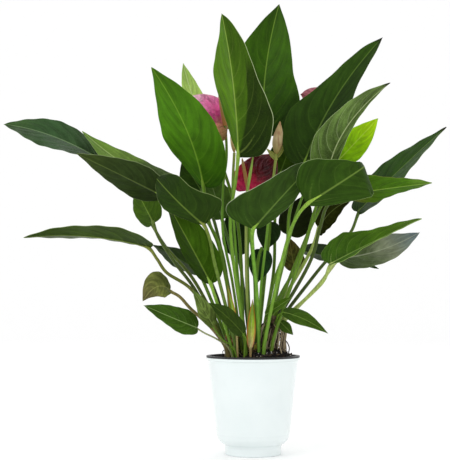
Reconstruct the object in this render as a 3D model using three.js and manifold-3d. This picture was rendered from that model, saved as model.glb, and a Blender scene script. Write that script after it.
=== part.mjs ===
// A potted anthurium: white outer pot, black nursery pot, potting mix, three crowns with sheaths
// and aerial roots, leaves on their petioles, and blooms on their stalks.
// Millimetres, +Z up. The origin is the centre of the pot's flat foot. -Y is the plant's front.
import * as THREE from "three";
import { mergeVertices } from "three/addons/utils/BufferGeometryUtils.js";
import Module from "manifold-3d";

const wasm = await Module();
wasm.setup();

// Driving dimensions
const POT_HEIGHT = 123;
const RIM_RADIUS = 60;
const LIP_HEIGHT = 3;
const FOOT_RADIUS = 36;
const WALL = 1.4;
const FIT = 0.3;
const LINER_RIM = 2;
const SOIL_LEVEL = 121.5;
const SOIL_RADIUS = 54.4;
const MOUND = { x: 24, y: 0, height: 13, spreadX: 34, spreadY: 34 };
const FOOT_DEPTH = 9;
const BLADE_THICKNESS = 0.8;
const MIDRIB_DEPTH = 1.1;
const PETIOLE_RADIUS = 1.9;
const STALK_RADIUS = 1.7;
const POT_SEGMENTS = 28;

const plant = new THREE.Group();

const v3 = (p) => new THREE.Vector3(p[0], p[1], p[2]);

// Materials, one per kind of surface
const paint = (color, roughness) => new THREE.MeshStandardMaterial({ color, roughness, metalness: 0 });
const WHITE = paint(0xf0f5f5, 0.35);
const BLACK = paint(0x17181a, 0.55);
const PEAT = paint(0x1d1813, 0.95);
const CROWN_BROWN = paint(0x5a4530, 0.85);
const SHEATH_GREEN = paint(0x9aa63f, 0.6);
const STALK_GREEN = paint(0x7f9a4a, 0.5);
const SPATHE_PINK = paint(0xc4608a, 0.3);
const SPATHE_CRIMSON = paint(0x9c1236, 0.3);
const SPADIX_ORANGE = paint(0xb8793f, 0.7);
const BUD_BEIGE = paint(0xcbb786, 0.6);
const leafPaint = (color) => paint(color, 0.35);

// Turns a closed geometry into a solid, with shared vertices merged
function solid(geometry) {
  const bare = geometry.index ? geometry.toNonIndexed() : geometry.clone();
  bare.deleteAttribute("normal");
  bare.deleteAttribute("uv");
  const merged = mergeVertices(bare, 1e-4);
  const index = merged.index.array;
  const kept = [];
  for (let i = 0; i < index.length; i += 3) {
    const [a, b, c] = [index[i], index[i + 1], index[i + 2]];
    if (a !== b && b !== c && c !== a) kept.push(a, b, c);
  }
  return new wasm.Manifold(new wasm.Mesh({
    numProp: 3,
    vertProperties: new Float32Array(merged.attributes.position.array),
    triVerts: new Uint32Array(kept),
  }));
}

// The largest body of a solid, as a geometry
function geometryOf(body) {
  const pieces = body.decompose();
  const main = pieces.reduce((a, b) => (b.volume() > a.volume() ? b : a));
  const mesh = main.getMesh();
  const geometry = new THREE.BufferGeometry();
  geometry.setAttribute("position", new THREE.BufferAttribute(new Float32Array(mesh.vertProperties), 3));
  geometry.setIndex(new THREE.BufferAttribute(new Uint32Array(mesh.triVerts), 1));
  geometry.computeVertexNormals();
  return geometry;
}

function add(name, body, material) {
  const mesh = new THREE.Mesh(geometryOf(body), material);
  mesh.name = name;
  plant.add(mesh);
}

// A closed profile of [radius, z] pairs, turned about the Z axis
function turned(profile, segments = POT_SEGMENTS) {
  const points = profile.map(([r, z]) => new THREE.Vector2(r, z));
  return solid(new THREE.LatheGeometry(points, segments).rotateX(Math.PI / 2));
}

// Height of the potting mix: nearly level at the left, mounded round the crowns at the right
function soilHeight(x, y) {
  const far = ((x - MOUND.x) / MOUND.spreadX) ** 2 + ((y - MOUND.y) / MOUND.spreadY) ** 2;
  const edge = Math.max(0, 1 - (Math.hypot(x, y) / SOIL_RADIUS) ** 4);
  const fine = 1.1 * Math.sin(x * 0.31 + 1.3) * Math.cos(y * 0.27 - 0.4);
  const broad = 0.8 * Math.sin(x * 0.13 - y * 0.36);
  return SOIL_LEVEL + edge * (MOUND.height * Math.exp(-far) + fine + broad);
}

// A tube along a curve, closed at both ends, whose radius follows radiusAt(0..1).
// count is how many of its steps are made, and early is how far before the curve it starts.
function tube(curve, radiusAt, steps, sides, count = steps, early = 0) {
  const positions = [];
  const rings = [];
  let across = null;
  for (let i = 0; i <= count; i++) {
    const centre = curve.getPoint(i / steps);
    const tangent = curve.getTangent(i / steps);
    if (i === 0) centre.addScaledVector(tangent, -early);
    const start = Math.abs(tangent.y) > 0.8 ? new THREE.Vector3(1, 0, 0) : new THREE.Vector3(0, 1, 0);
    const guide = across ?? start;
    across = guide.clone().addScaledVector(tangent, -guide.dot(tangent)).normalize();
    const other = tangent.clone().cross(across);
    const ring = [];
    for (let k = 0; k < sides; k++) {
      const angle = (k / sides) * Math.PI * 2;
      ring.push(centre.clone()
        .addScaledVector(across, Math.cos(angle) * radiusAt(i / steps))
        .addScaledVector(other, Math.sin(angle) * radiusAt(i / steps)));
    }
    rings.push(ring);
  }
  const face = (a, b, c) => positions.push(...a.toArray(), ...b.toArray(), ...c.toArray());
  for (let i = 0; i < count; i++) {
    for (let k = 0; k < sides; k++) {
      const next = (k + 1) % sides;
      face(rings[i][k], rings[i][next], rings[i + 1][next]);
      face(rings[i][k], rings[i + 1][next], rings[i + 1][k]);
    }
  }
  for (let k = 1; k < sides - 1; k++) {
    face(rings[0][0], rings[0][k + 1], rings[0][k]);
    face(rings[count][0], rings[count][k], rings[count][k + 1]);
  }
  const geometry = new THREE.BufferGeometry();
  geometry.setAttribute("position", new THREE.Float32BufferAttribute(positions, 3));
  return solid(geometry);
}

const smoothCurve = (points) => new THREE.CatmullRomCurve3(points.map(v3), false, "centripetal");

// Half of a leaf blade's outline, from the petiole's end round the lobe to the tip:
// x in half widths, y in lengths from the petiole's end
const HEART = [
  [0.03, -0.012], [0.28, -0.02], [0.58, 0.01], [0.84, 0.11], [1, 0.27],
  [0.97, 0.43], [0.79, 0.61], [0.47, 0.79], [0.14, 0.94], [0, 1],
];
// A spathe is rounder, with a short tip
const SPATHE = [
  [0.03, -0.02], [0.34, -0.13], [0.74, -0.08], [0.98, 0.1], [1, 0.32],
  [0.88, 0.55], [0.64, 0.75], [0.32, 0.9], [0.08, 0.97], [0, 1],
];
const FAN = 0.24;

// The frame along a blade's midrib, which passes through base, middle and tip
function midrib(leaf) {
  const base = v3(leaf.base);
  const tip = v3(leaf.tip);
  const middle = leaf.mid ? v3(leaf.mid) : base.clone().lerp(tip, 0.5);
  const control = middle.clone().multiplyScalar(2).addScaledVector(base, -0.5).addScaledVector(tip, -0.5);
  const curve = new THREE.QuadraticBezierCurve3(base, control, tip);
  const length = curve.getLength();
  const chord = tip.clone().sub(base).normalize();
  const side = chord.clone().cross(v3(leaf.faces)).normalize();
  return { curve, length, side };
}

// A point of a blade: across in mm from the midrib, along in lengths from the petiole's end,
// below in mm under the upper face
function bladePoint(leaf, rib, across, along, below) {
  const t = Math.min(Math.max(along, 0), 1);
  const centre = rib.curve.getPoint(t);
  const tangent = rib.curve.getTangent(t);
  if (along < 0) centre.addScaledVector(tangent, along * rib.length);
  const twist = THREE.MathUtils.degToRad((leaf.twist ?? 0) * (along - 0.5));
  const side = rib.side.clone().addScaledVector(tangent, -rib.side.dot(tangent)).normalize();
  side.applyAxisAngle(tangent, twist);
  const normal = side.clone().cross(tangent).normalize();
  const fold = THREE.MathUtils.degToRad(leaf.fold ?? 12);
  const half = leaf.width / 2;
  const share = Math.abs(across) / half;
  const phase = leaf.phase ?? leaf.width;
  const wave = (leaf.wave ?? 1.6) * share * share * Math.sin(along * 9 + phase + (across > 0 ? 0 : 1.9));
  const rise = Math.sin(fold) * Math.abs(across) * (1 - 0.25 * share) + wave - below;
  return centre.addScaledVector(side, across * Math.cos(fold)).addScaledVector(normal, rise);
}

// A closed blade: its upper face, a lower face split into triangles alike, and the rim between them
function blade(leaf, outline = HEART) {
  const rib = midrib(leaf);
  const lines = leaf.lines ?? 8;
  const strips = leaf.strips ?? 3;
  const halves = [leaf.minus ?? outline, leaf.plus ?? outline];
  const edges = halves.map((half) => smoothCurve(half.map(([x, y]) => [x, y, 0])));
  const upper = [];
  const lower = [];
  for (let i = 0; i <= lines; i++) {
    const t = i / lines;
    const origin = Math.max(0, (t - FAN) / (1 - FAN)) ** 1.15;
    const rowUp = [];
    const rowDown = [];
    for (let j = -strips; j <= strips; j++) {
      const share = Math.abs(j) / strips;
      const edge = edges[j < 0 ? 0 : 1].getPoint(t);
      const neck = 1 - (leaf.pinch ?? 0) * Math.sin(Math.PI * Math.min(1, Math.max(0, (edge.y - 0.3) / 0.7)));
      const along = origin + share * (edge.y - origin);
      const lean = 1 + Math.sign(j) * (leaf.lean ?? 0);
      const across = (leaf.width / 2) * (j / strips) * edge.x * lean * neck;
      const depth = BLADE_THICKNESS + (share === 0 ? MIDRIB_DEPTH * (1 - origin) : 0);
      rowUp.push(bladePoint(leaf, rib, across, along, 0));
      rowDown.push(bladePoint(leaf, rib, across, along, depth));
    }
    upper.push(rowUp);
    lower.push(rowDown);
  }
  const positions = [];
  const face = (a, b, c) => positions.push(...a.toArray(), ...b.toArray(), ...c.toArray());
  const cell = (rows, i, j, flip) => {
    const [a, b, c, d] = [rows[i][j], rows[i][j + 1], rows[i + 1][j + 1], rows[i + 1][j]];
    const split = j < strips ? [[a, b, d], [b, c, d]] : [[a, b, c], [a, c, d]];
    for (const [p, q, r] of split) {
      if (flip) face(p, r, q);
      else face(p, q, r);
    }
  };
  for (let i = 0; i < lines; i++) {
    for (let j = 0; j < 2 * strips; j++) {
      cell(upper, i, j, false);
      cell(lower, i, j, true);
    }
  }
  const wall = (rowA, a, rowB, b) => {
    face(upper[rowB][b], upper[rowA][a], lower[rowA][a]);
    face(upper[rowB][b], lower[rowA][a], lower[rowB][b]);
  };
  for (let j = 0; j < 2 * strips; j++) wall(0, j, 0, j + 1);
  for (let i = 0; i < lines; i++) {
    wall(i, 2 * strips, i + 1, 2 * strips);
    wall(i + 1, 0, i, 0);
  }
  const geometry = new THREE.BufferGeometry();
  geometry.setAttribute("position", new THREE.Float32BufferAttribute(positions, 3));
  return solid(geometry);
}

const holes = [];
const RISE = 14;

// The foot of a stem in the mix, and a point just above it where the stem starts to lean outwards
function rooted(x, y, next) {
  const foot = soilHeight(x, y) - FOOT_DEPTH;
  const share = 0.5 * (FOOT_DEPTH + RISE) / (next[2] - foot);
  return [[x, y, foot], [x + share * (next[0] - x), y + share * (next[1] - y), foot + FOOT_DEPTH + RISE]];
}

// A stem through points, and the plain hole that its foot stands in, wider by the fit all round
function stem(points, radiusAt, sides, deep) {
  const curve = smoothCurve(points);
  const steps = points.length - 1;
  holes.push(tube(curve, (t) => radiusAt(t) + FIT + 0.1, steps, sides, deep, FIT));
  return tube(curve, radiusAt, steps, sides);
}

// A petiole, from its foot to just under the blade's midrib, thickest at the knee below the blade
function petiole(leaf) {
  const [x, y, z] = leaf.foot;
  const rib = midrib(leaf);
  const knee = bladePoint(leaf, rib, 0, 0, 1.3);
  const end = bladePoint(leaf, rib, 0, 0.09, 1);
  const rest = [...(leaf.via ?? []), knee.toArray(), end.toArray()];
  const points = [...(z ? [leaf.foot] : rooted(x, y, rest[0])), ...rest];
  const radius = leaf.radius ?? PETIOLE_RADIUS;
  const last = points.length - 1;
  const radiusAt = (t) => {
    const joint = t * last;
    const swelling = 0.3 * Math.max(0, 1 - Math.abs(joint - last + 1) / 0.5);
    return radius * (joint > last - 0.1 ? 0.4 : 1.12 - 0.25 * t + swelling);
  };
  return stem(points, radiusAt, 5, z ? 1 : 2);
}

// Leaves. foot: where the petiole stands, in the mix or, with a third number, in a crown.
// via: points that the petiole passes. base, mid, tip: the midrib. faces: where the upper face looks.
// width: of the blade; lean: how much of it lies on one side; pinch: how slender the tip is.
// plus and minus: the outlines of its two halves, where they aren't the common one.
// fold: how far each half rises, in degrees; twist: from base to tip, in degrees.
const DARK = 0x2c4a1c;
const GREEN = 0x3f6b22;
const BRIGHT = 0x6f9a2a;
const OLIVE = 0x54602c;
const leaves = {
  leaf_top_front: {
    foot: [-9, -15], via: [[-27, -33, 259], [-29, -42, 303], [-23, -50, 343]],
    base: [-19, -58, 376], mid: [-26, -86, 464], tip: [-40, -105, 544],
    faces: [0.57, 0.82, 0.1], width: 92, fold: 25, color: GREEN,
    plus: [
      [0.03, -0.012], [0.15, 0.04], [0.37, 0.13], [0.6, 0.26], [0.8, 0.4], [0.92, 0.53],
      [0.72, 0.68], [0.42, 0.81], [0.15, 0.94], [0, 1],
    ],
    minus: [
      [0.03, -0.012], [0.36, -0.01], [0.72, 0.02], [0.95, 0.12], [1.03, 0.24], [0.93, 0.35],
      [0.77, 0.46], [0.64, 0.57], [0.52, 0.7], [0.36, 0.83], [0.14, 0.95], [0, 1],
    ],
  },
  leaf_top_back: {
    foot: [-3, 0], via: [[-7, 8, 245], [-5, 10, 294], [6, 12, 359]],
    base: [15, 14, 413], mid: [18, 26, 500], tip: [37, 44, 594],
    faces: [-0.1, -1, 0.2], width: 97, fold: 12, color: DARK,
    plus: [
      [0.03, -0.012], [0.32, -0.02], [0.68, 0.02], [0.94, 0.12], [1.02, 0.25], [0.94, 0.36],
      [0.8, 0.47], [0.7, 0.6], [0.55, 0.74], [0.3, 0.88], [0.1, 0.96], [0, 1],
    ],
  },
  leaf_upper_left: {
    foot: [-19, -11], via: [[-44, -22, 265], [-56, -26, 295]],
    base: [-63, -28, 341], mid: [-85, -54, 412], tip: [-127, -75, 484],
    faces: [0.5, 0.85, 0.3], width: 82, fold: 11, color: GREEN,
    plus: [
      [0.03, -0.012], [0.3, 0.05], [0.6, 0.17], [0.88, 0.31], [1, 0.45],
      [0.92, 0.58], [0.72, 0.72], [0.4, 0.86], [0.12, 0.96], [0, 1],
    ],
  },
  leaf_pale_left: {
    foot: [-12, 5], via: [[-19, 16, 294], [-37, 26, 366]],
    base: [-62, 32, 430], mid: [-80, 33, 470], tip: [-92, 40, 513],
    faces: [0.3, -0.9, 0.3], width: 31, color: BRIGHT, strips: 2, lines: 7,
  },
  leaf_upper_right: {
    foot: [12, -8], via: [[43, -18, 266], [46, -22, 306], [54, -24, 336]],
    base: [65, -25, 371], mid: [108, -9, 459], tip: [172, 15, 542],
    faces: [-0.34, -0.94, 0.2], width: 86, lean: -0.05, pinch: 0.4, fold: 16, color: DARK,
  },
  leaf_folded_right: {
    foot: [22, -16], via: [[66, -32, 268], [77, -42, 309], [86, -46, 332]],
    base: [93, -50, 352], mid: [117, -52, 413], tip: [174, -36, 472],
    faces: [-0.25, -0.9, 0.4], width: 54, lean: -0.26, pinch: 0.15, fold: 44, color: GREEN, strips: 2,
  },
  leaf_yellow_right: {
    foot: [15, 4], via: [[73, 10, 285], [96, 16, 333]],
    base: [110, 20, 376], tip: [170, 50, 440],
    faces: [0, -1, 0.3], width: 40, color: 0x86b318, strips: 2, lines: 7,
  },
  leaf_front_right: {
    foot: [12, -22], via: [[40, -50, 264], [51, -70, 296]],
    base: [65, -92, 314], mid: [125, -118, 352], tip: [123, -50, 356],
    faces: [-0.5, 0.8, -0.07], width: 88, fold: 6, color: GREEN,
    plus: [
      [0.03, -0.012], [0.35, -0.01], [0.75, 0.02], [1, 0.1], [0.92, 0.18], [0.72, 0.26],
      [0.44, 0.4], [0.25, 0.5], [0.16, 0.62], [0.1, 0.8], [0, 1],
    ],
    minus: [
      [0.03, -0.012], [0.15, 0.01], [0.36, 0.08], [0.6, 0.22], [0.76, 0.36], [0.83, 0.49],
      [0.8, 0.6], [0.66, 0.72], [0.42, 0.84], [0.15, 0.95], [0, 1],
    ],
  },
  leaf_front_centre: {
    foot: [7, -18], via: [[4, -40, 205], [-1, -56, 256]],
    base: [-1, -78, 284], mid: [34, -102, 323], tip: [73, -63, 365],
    faces: [-0.3, 0.9, 0.4], width: 90, fold: 6, color: DARK,
    plus: [
      [0.03, -0.012], [0.4, -0.04], [0.78, -0.04], [0.98, 0.06], [0.95, 0.2], [0.8, 0.33],
      [0.65, 0.45], [0.47, 0.66], [0.33, 0.83], [0.16, 0.95], [0, 1],
    ],
    minus: [
      [0.03, -0.012], [0.12, 0.04], [0.24, 0.13], [0.36, 0.34], [0.4, 0.53], [0.33, 0.7],
      [0.17, 0.87], [0, 1],
    ],
  },
  leaf_front_left: {
    foot: [-20, -20], via: [[-50, -48, 247], [-55, -58, 272]],
    base: [-62, -70, 289], mid: [-93, -94, 316], tip: [-120, -70, 346],
    faces: [0.3, 0.9, 0.35], width: 78, fold: 6, color: DARK,
    minus: [
      [0.03, -0.012], [0.2, 0.01], [0.5, 0.01], [0.82, 0.05], [1, 0.14], [0.88, 0.27],
      [0.68, 0.44], [0.62, 0.58], [0.62, 0.7], [0.45, 0.85], [0.2, 0.97], [0, 1],
    ],
    plus: [
      [0.03, -0.012], [0.12, 0.06], [0.28, 0.2], [0.46, 0.4], [0.56, 0.58], [0.5, 0.76],
      [0.28, 0.92], [0, 1],
    ],
  },
  leaf_hanging_left: {
    foot: [-25, -16], via: [[-49, -32, 202]],
    base: [-54, -34, 218], mid: [-80, -52, 267], tip: [-112, -66, 325],
    faces: [0.26, 0.9, 0.4], width: 62, fold: 42, color: OLIVE, strips: 2,
  },
  leaf_far_left_top: {
    foot: [-29, 4], via: [[-77, 4, 223], [-113, 8, 265], [-134, 26, 298], [-165, 30, 343]],
    base: [-205, 22, 384], mid: [-265, 4, 411], tip: [-322, -8, 423],
    faces: [0, -0.7, 0.7], width: 60, fold: 10, color: 0x33483c, strips: 2,
    minus: [
      [0.03, -0.012], [0.2, 0.03], [0.46, 0.11], [0.74, 0.23], [0.96, 0.4], [1, 0.54],
      [0.84, 0.7], [0.5, 0.85], [0.16, 0.96], [0, 1],
    ],
  },
  leaf_far_left: {
    foot: [-27, -2], via: [[-71, -10, 237], [-96, -12, 288]],
    base: [-117, -24, 330], mid: [-165, -40, 353], tip: [-222, -50, 380],
    faces: [0, 0.7, 0.7], width: 53, fold: 10, color: DARK, strips: 2,
  },
  leaf_bright_left: {
    foot: [-26, 9], via: [[-40, 18, 259], [-65, 22, 308]],
    base: [-87, 22, 338], mid: [-152, 18, 364], tip: [-223, 12, 417],
    faces: [0.1, -0.7, 0.7], width: 52, fold: 10, color: BRIGHT, strips: 2,
    minus: [
      [0.03, -0.012], [0.2, 0.03], [0.46, 0.11], [0.74, 0.23], [0.96, 0.4], [1, 0.54],
      [0.84, 0.7], [0.5, 0.85], [0.16, 0.96], [0, 1],
    ],
  },
  leaf_inner_left: {
    foot: [-30, -10], via: [[-76, -8, 212], [-101, -8, 245], [-122, -6, 278]],
    base: [-128, -4, 296], mid: [-142, 2, 322], tip: [-154, 6, 344],
    faces: [0.3, 0.8, 0.4], width: 44, fold: 10, color: GREEN, strips: 2, lines: 7,
  },
  leaf_level_left: {
    foot: [-30, -15], via: [[-78, -16, 209], [-111, -23, 232], [-122, -26, 248]],
    base: [-132, -30, 263], mid: [-206, -46, 276], tip: [-286, -58, 274],
    faces: [0, 0.33, 0.95], width: 54, fold: 18, twist: 20, color: GREEN, strips: 2,
  },
  leaf_dark_left: {
    foot: [-24, 15], via: [[-53, 34, 217]],
    base: [-63, 42, 232], tip: [-133, 60, 270],
    faces: [0, -0.6, 0.8], width: 42, color: DARK, strips: 2, lines: 7,
  },
  leaf_olive_right: {
    foot: [26, 7, 176], via: [[71, 24, 250], [82, 36, 272]],
    base: [88, 44, 293], mid: [110, 62, 318], tip: [136, 80, 332],
    faces: [-0.1, 0.7, 0.6], width: 66, color: OLIVE, strips: 2, lines: 7,
  },
  leaf_lower_right: {
    foot: [34, -4, 168], via: [[74, -26, 205], [88, -40, 221]],
    base: [95, -54, 241], mid: [145, -62, 267], tip: [207, -66, 297],
    faces: [-0.2, -0.5, 0.85], width: 66, pinch: 0.3, fold: 32, color: BRIGHT, strips: 2,
    minus: [
      [0.03, -0.012], [0.36, -0.05], [0.74, -0.02], [1, 0.1], [1.04, 0.25], [0.94, 0.42],
      [0.74, 0.6], [0.44, 0.78], [0.14, 0.94], [0, 1],
    ],
  },
  leaf_silver_right: {
    foot: [37, 2, 166], via: [[86, 0, 217], [101, 0, 237]],
    base: [112, 2, 250], mid: [166, 10, 261], tip: [220, 24, 285],
    faces: [0, -0.75, 0.65], width: 55, color: 0x4a5a52, strips: 2,
  },
  leaf_dark_right: {
    foot: [29.5, 9.5, 171], via: [[62, 44, 240]],
    base: [67, 60, 263], mid: [118, 62, 252], tip: [170, 56, 238],
    faces: [0, 0.4, 0.9], width: 44, color: DARK, strips: 2, lines: 7,
  },
  leaf_far_right_top: {
    foot: [36, 6, 172], via: [[69, 12, 214], [91, 18, 241], [118, 24, 271], [131, 26, 288]],
    base: [140, 26, 313], mid: [190, 20, 364], tip: [253, 8, 422],
    faces: [-0.6, -0.42, 0.7], width: 77, fold: 10, color: DARK, strips: 2,
  },
  leaf_far_right: {
    foot: [30, -4, 169], via: [[75, -12, 250], [85, -20, 288], [95, -22, 317]],
    base: [116, -22, 331], mid: [172, -34, 338], tip: [225, -40, 344],
    faces: [0.1, 0.6, 0.8], width: 50, pinch: 0.25, fold: 10, color: BRIGHT, strips: 2,
  },
  leaf_old_right: {
    foot: [22, 8, 178], via: [[43, 28, 214]],
    base: [56, 38, 236], tip: [49, 38, 279],
    faces: [0.2, -0.9, 0.2], width: 31, color: 0x4f3a26, strips: 2, lines: 6,
  },
  leaf_inner_centre: {
    foot: [3, 8], via: [[7, 24, 246], [12, 28, 264]],
    base: [13, 32, 262], tip: [6, 36, 218],
    faces: [0.1, -0.9, 0.2], width: 32, color: DARK, strips: 2, lines: 6,
  },
  leaf_inner_back: {
    foot: [7, 13], via: [[19, 42, 246], [23, 46, 280]],
    base: [24, 48, 300], mid: [21, 49, 281], tip: [17, 52, 262],
    faces: [0.1, -0.9, 0.2], width: 33, color: DARK, strips: 2, lines: 6,
  },
  leaf_old_left: {
    foot: [-29, -20.5], via: [[-52, -25, 160], [-80, -26, 186], [-94, -26, 201]],
    base: [-106, -27, 209], mid: [-122, -36, 213], tip: [-139, -42, 195],
    faces: [0, -0.9, 0.4], width: 41, color: 0x6b5a34, strips: 2, lines: 6,
  },
  leaf_low_left: {
    foot: [-24, -26], via: [[-47, -38, 148], [-61, -42, 155]],
    base: [-71, -48, 162], mid: [-102, -58, 175], tip: [-136, -66, 190],
    faces: [0.1, -0.75, 0.6], width: 38, color: GREEN, radius: 1.1, strips: 2,
  },
  leaf_mottled_left: {
    foot: [-19, -30], via: [[-39, -42, 147], [-47, -45, 157]],
    base: [-51, -47, 165], mid: [-63, -53, 186], tip: [-76, -58, 209],
    faces: [0.5, -0.8, 0.3], width: 24, color: OLIVE, strips: 2, lines: 6, radius: 1,
  },
  leaf_low_centre: {
    foot: [-12, -31], via: [[-10, -38, 148]],
    base: [-14, -42, 155], mid: [-34, -50, 176], tip: [-56, -56, 193],
    faces: [0.4, -0.8, 0.4], width: 27, color: DARK, strips: 2, lines: 6, radius: 1.1,
  },
  leaf_low_right: {
    foot: [27, -4, 164], via: [[29, -19, 170], [32, -30, 178]],
    base: [38, -34, 181], mid: [64, -42, 172], tip: [92, -50, 155],
    faces: [0.1, -0.9, 0.3], width: 20, color: GREEN, strips: 2, lines: 7, radius: 1.1,
  },
  leaf_inner_low_right: {
    foot: [19, -4, 160], via: [[15, -12, 170]],
    base: [16, -17, 178], tip: [48, -36, 200],
    faces: [-0.3, -0.8, 0.6], width: 17, color: GREEN, strips: 2, lines: 6, radius: 1,
  },
  leaf_small_low_right: {
    foot: [33, 0, 160], via: [[32, -9, 167]],
    base: [35, -11, 168], tip: [51, -12, 152],
    faces: [0.1, -0.95, 0.2], width: 14, color: GREEN, strips: 2, lines: 6, radius: 0.9,
  },
  leaf_edge_left: {
    foot: [-16, 16], via: [[-49, 44, 296], [-60, 50, 325]],
    base: [-68, 52, 343], tip: [-94, 56, 384],
    faces: [-0.3, -0.8, 0.5], width: 40, color: DARK, strips: 2, lines: 6,
  },
  leaf_grey_back: {
    foot: [-9, 17], via: [[-27, 44, 256]],
    base: [-40, 60, 306], tip: [-60, 72, 372],
    faces: [0.2, -0.9, 0.3], width: 46, color: 0x5f7260, strips: 2, lines: 7,
  },
  leaf_behind_bud: {
    foot: [10, 26], via: [[29, 52, 235], [31, 58, 300], [33, 61, 345]],
    base: [38, 64, 366], tip: [64, 70, 434],
    faces: [-0.1, -0.9, 0.3], width: 46, fold: 10, color: OLIVE, strips: 2, lines: 6,
  },
  leaf_behind_right: {
    foot: [20, 27], via: [[38, 60, 230], [46, 68, 262]],
    base: [52, 71, 284], tip: [76, 78, 340],
    faces: [-0.1, -0.9, 0.3], width: 46, fold: 10, color: OLIVE, strips: 2, lines: 6,
  },
  leaf_behind_left: {
    foot: [-3, 26], via: [[-12, 56, 218], [-15, 70, 240]],
    base: [-19, 80, 258], tip: [-27, 86, 326],
    faces: [0.1, -0.9, 0.2], width: 38, fold: 10, color: DARK, strips: 2, lines: 6,
  },
};

for (const [name, leaf] of Object.entries(leaves)) {
  add(name, blade(leaf).add(petiole(leaf)), leafPaint(leaf.color));
}

// Young growth: sheaths that clasp the stems' feet, and a leaf that is still rolled
const young = {
  sheath_front: {
    foot: [-4, -27], base: [-4, -28, 137], tip: [-1, -32, 198], faces: [0, 1, 0.1],
    width: 14, fold: 38, radius: 1.6, lines: 6, strips: 2, wave: 0,
  },
  sheath_left: {
    foot: [-20, -26], base: [-22, -27, 160], tip: [-33, -30, 216], faces: [0, 1, 0.1],
    width: 9, fold: 35, radius: 1.3, lines: 6, strips: 2, wave: 0,
  },
};
for (const [name, sheath] of Object.entries(young)) {
  add(name, blade(sheath).add(petiole(sheath)), SHEATH_GREEN);
}
const rolled = [[-8, -19, 200], [-9, -20, 292], [-7, -22, 337], [-4, -23, 356], [0, -24, 380]];
const ROLL_STARTS = 0.7;
function rolledRadius(t) {
  if (t < ROLL_STARTS) return STALK_RADIUS;
  const roll = (t - ROLL_STARTS) / (1 - ROLL_STARTS);
  return STALK_RADIUS + 2.2 * Math.sin(roll * Math.PI) * (1.1 - t) - 1.08 * roll;
}
add("leaf_rolled", stem([...rooted(-3, -14, rolled[0]), ...rolled], rolledRadius, 5, 2), leafPaint(BRIGHT));

// Blooms. foot and stalk: the points of its stem, which then passes through the spathe's base.
// spathe: like a leaf's blade. spadix: where the spadix ends.
const blooms = {
  bloom_left: {
    foot: [-14, -4],
    stalk: [[-27, -2, 222], [-35, -1, 261], [-39, 0, 288], [-38, 1, 348], [-34, 3, 381]],
    spathe: {
      base: [-33, -3, 418], mid: [-56, -8, 439], tip: [-86, -14, 456], faces: [-0.1, -0.9, 0.35],
      width: 56, fold: -8,
    },
    spadix: [-44, -18, 464], spadixRadius: 2.8, color: SPATHE_PINK,
  },
  bloom_centre: {
    foot: [3, -1],
    stalk: [[2, 1, 222], [-5, 1, 300]],
    spathe: {
      base: [-9, 5, 338], mid: [8, -2, 361], tip: [30, 4, 386], faces: [0, -1, 0.3],
      width: 56, fold: -8,
    },
    spadix: [-14, -9, 379], spadixRadius: 2.5, color: SPATHE_CRIMSON,
  },
  bloom_right: {
    foot: [12, 9],
    stalk: [[28.5, 19.5, 222], [44, 27, 262], [58, 36, 308], [80, 46, 369]],
    spathe: {
      base: [106, 47, 443], mid: [90, 46, 462], tip: [65, 42, 471], faces: [0, -1, 0.2],
      width: 46, fold: -8, strips: 2,
    },
    spadix: [95, 32, 477], spadixRadius: 2.4, color: SPATHE_PINK,
  },
};

for (const [name, bloom] of Object.entries(blooms)) {
  const out = v3(bloom.spathe.faces).normalize();
  const pierced = bladePoint(bloom.spathe, midrib(bloom.spathe), 0, 0.07, 0);
  const behind = pierced.clone().addScaledVector(out, -7).setZ(pierced.z - 6);
  const top = pierced.clone().addScaledVector(out, 2);
  const stations = [...bloom.stalk, behind.toArray(), top.toArray()];
  const points = [...rooted(...bloom.foot, bloom.stalk[0]), ...stations];
  const tip = v3(bloom.spadix);
  const bar = new THREE.LineCurve3(top, tip);
  const blunt = (t) => Math.sqrt(Math.max(0.04, 1 - t ** 4));
  const round = (t) => bloom.spadixRadius * blunt(t) * (0.85 + 0.3 * t - 0.25 * t * t);
  const loose = (t) => round(t) + FIT;
  const room = tube(bar, loose, 5, 6, 5, FIT);
  const collar = tube(smoothCurve(points), () => STALK_RADIUS + FIT + 0.02, points.length - 1, 6);
  const stalk = stem(points, () => STALK_RADIUS, 6, 2).subtract(room);
  add(`${name}_spathe`, blade(bloom.spathe, SPATHE).subtract(collar).subtract(room), bloom.color);
  add(`${name}_spadix`, tube(bar, round, 5, 6), SPADIX_ORANGE);
  add(`${name}_stalk`, stalk, STALK_GREEN);
}

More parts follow.
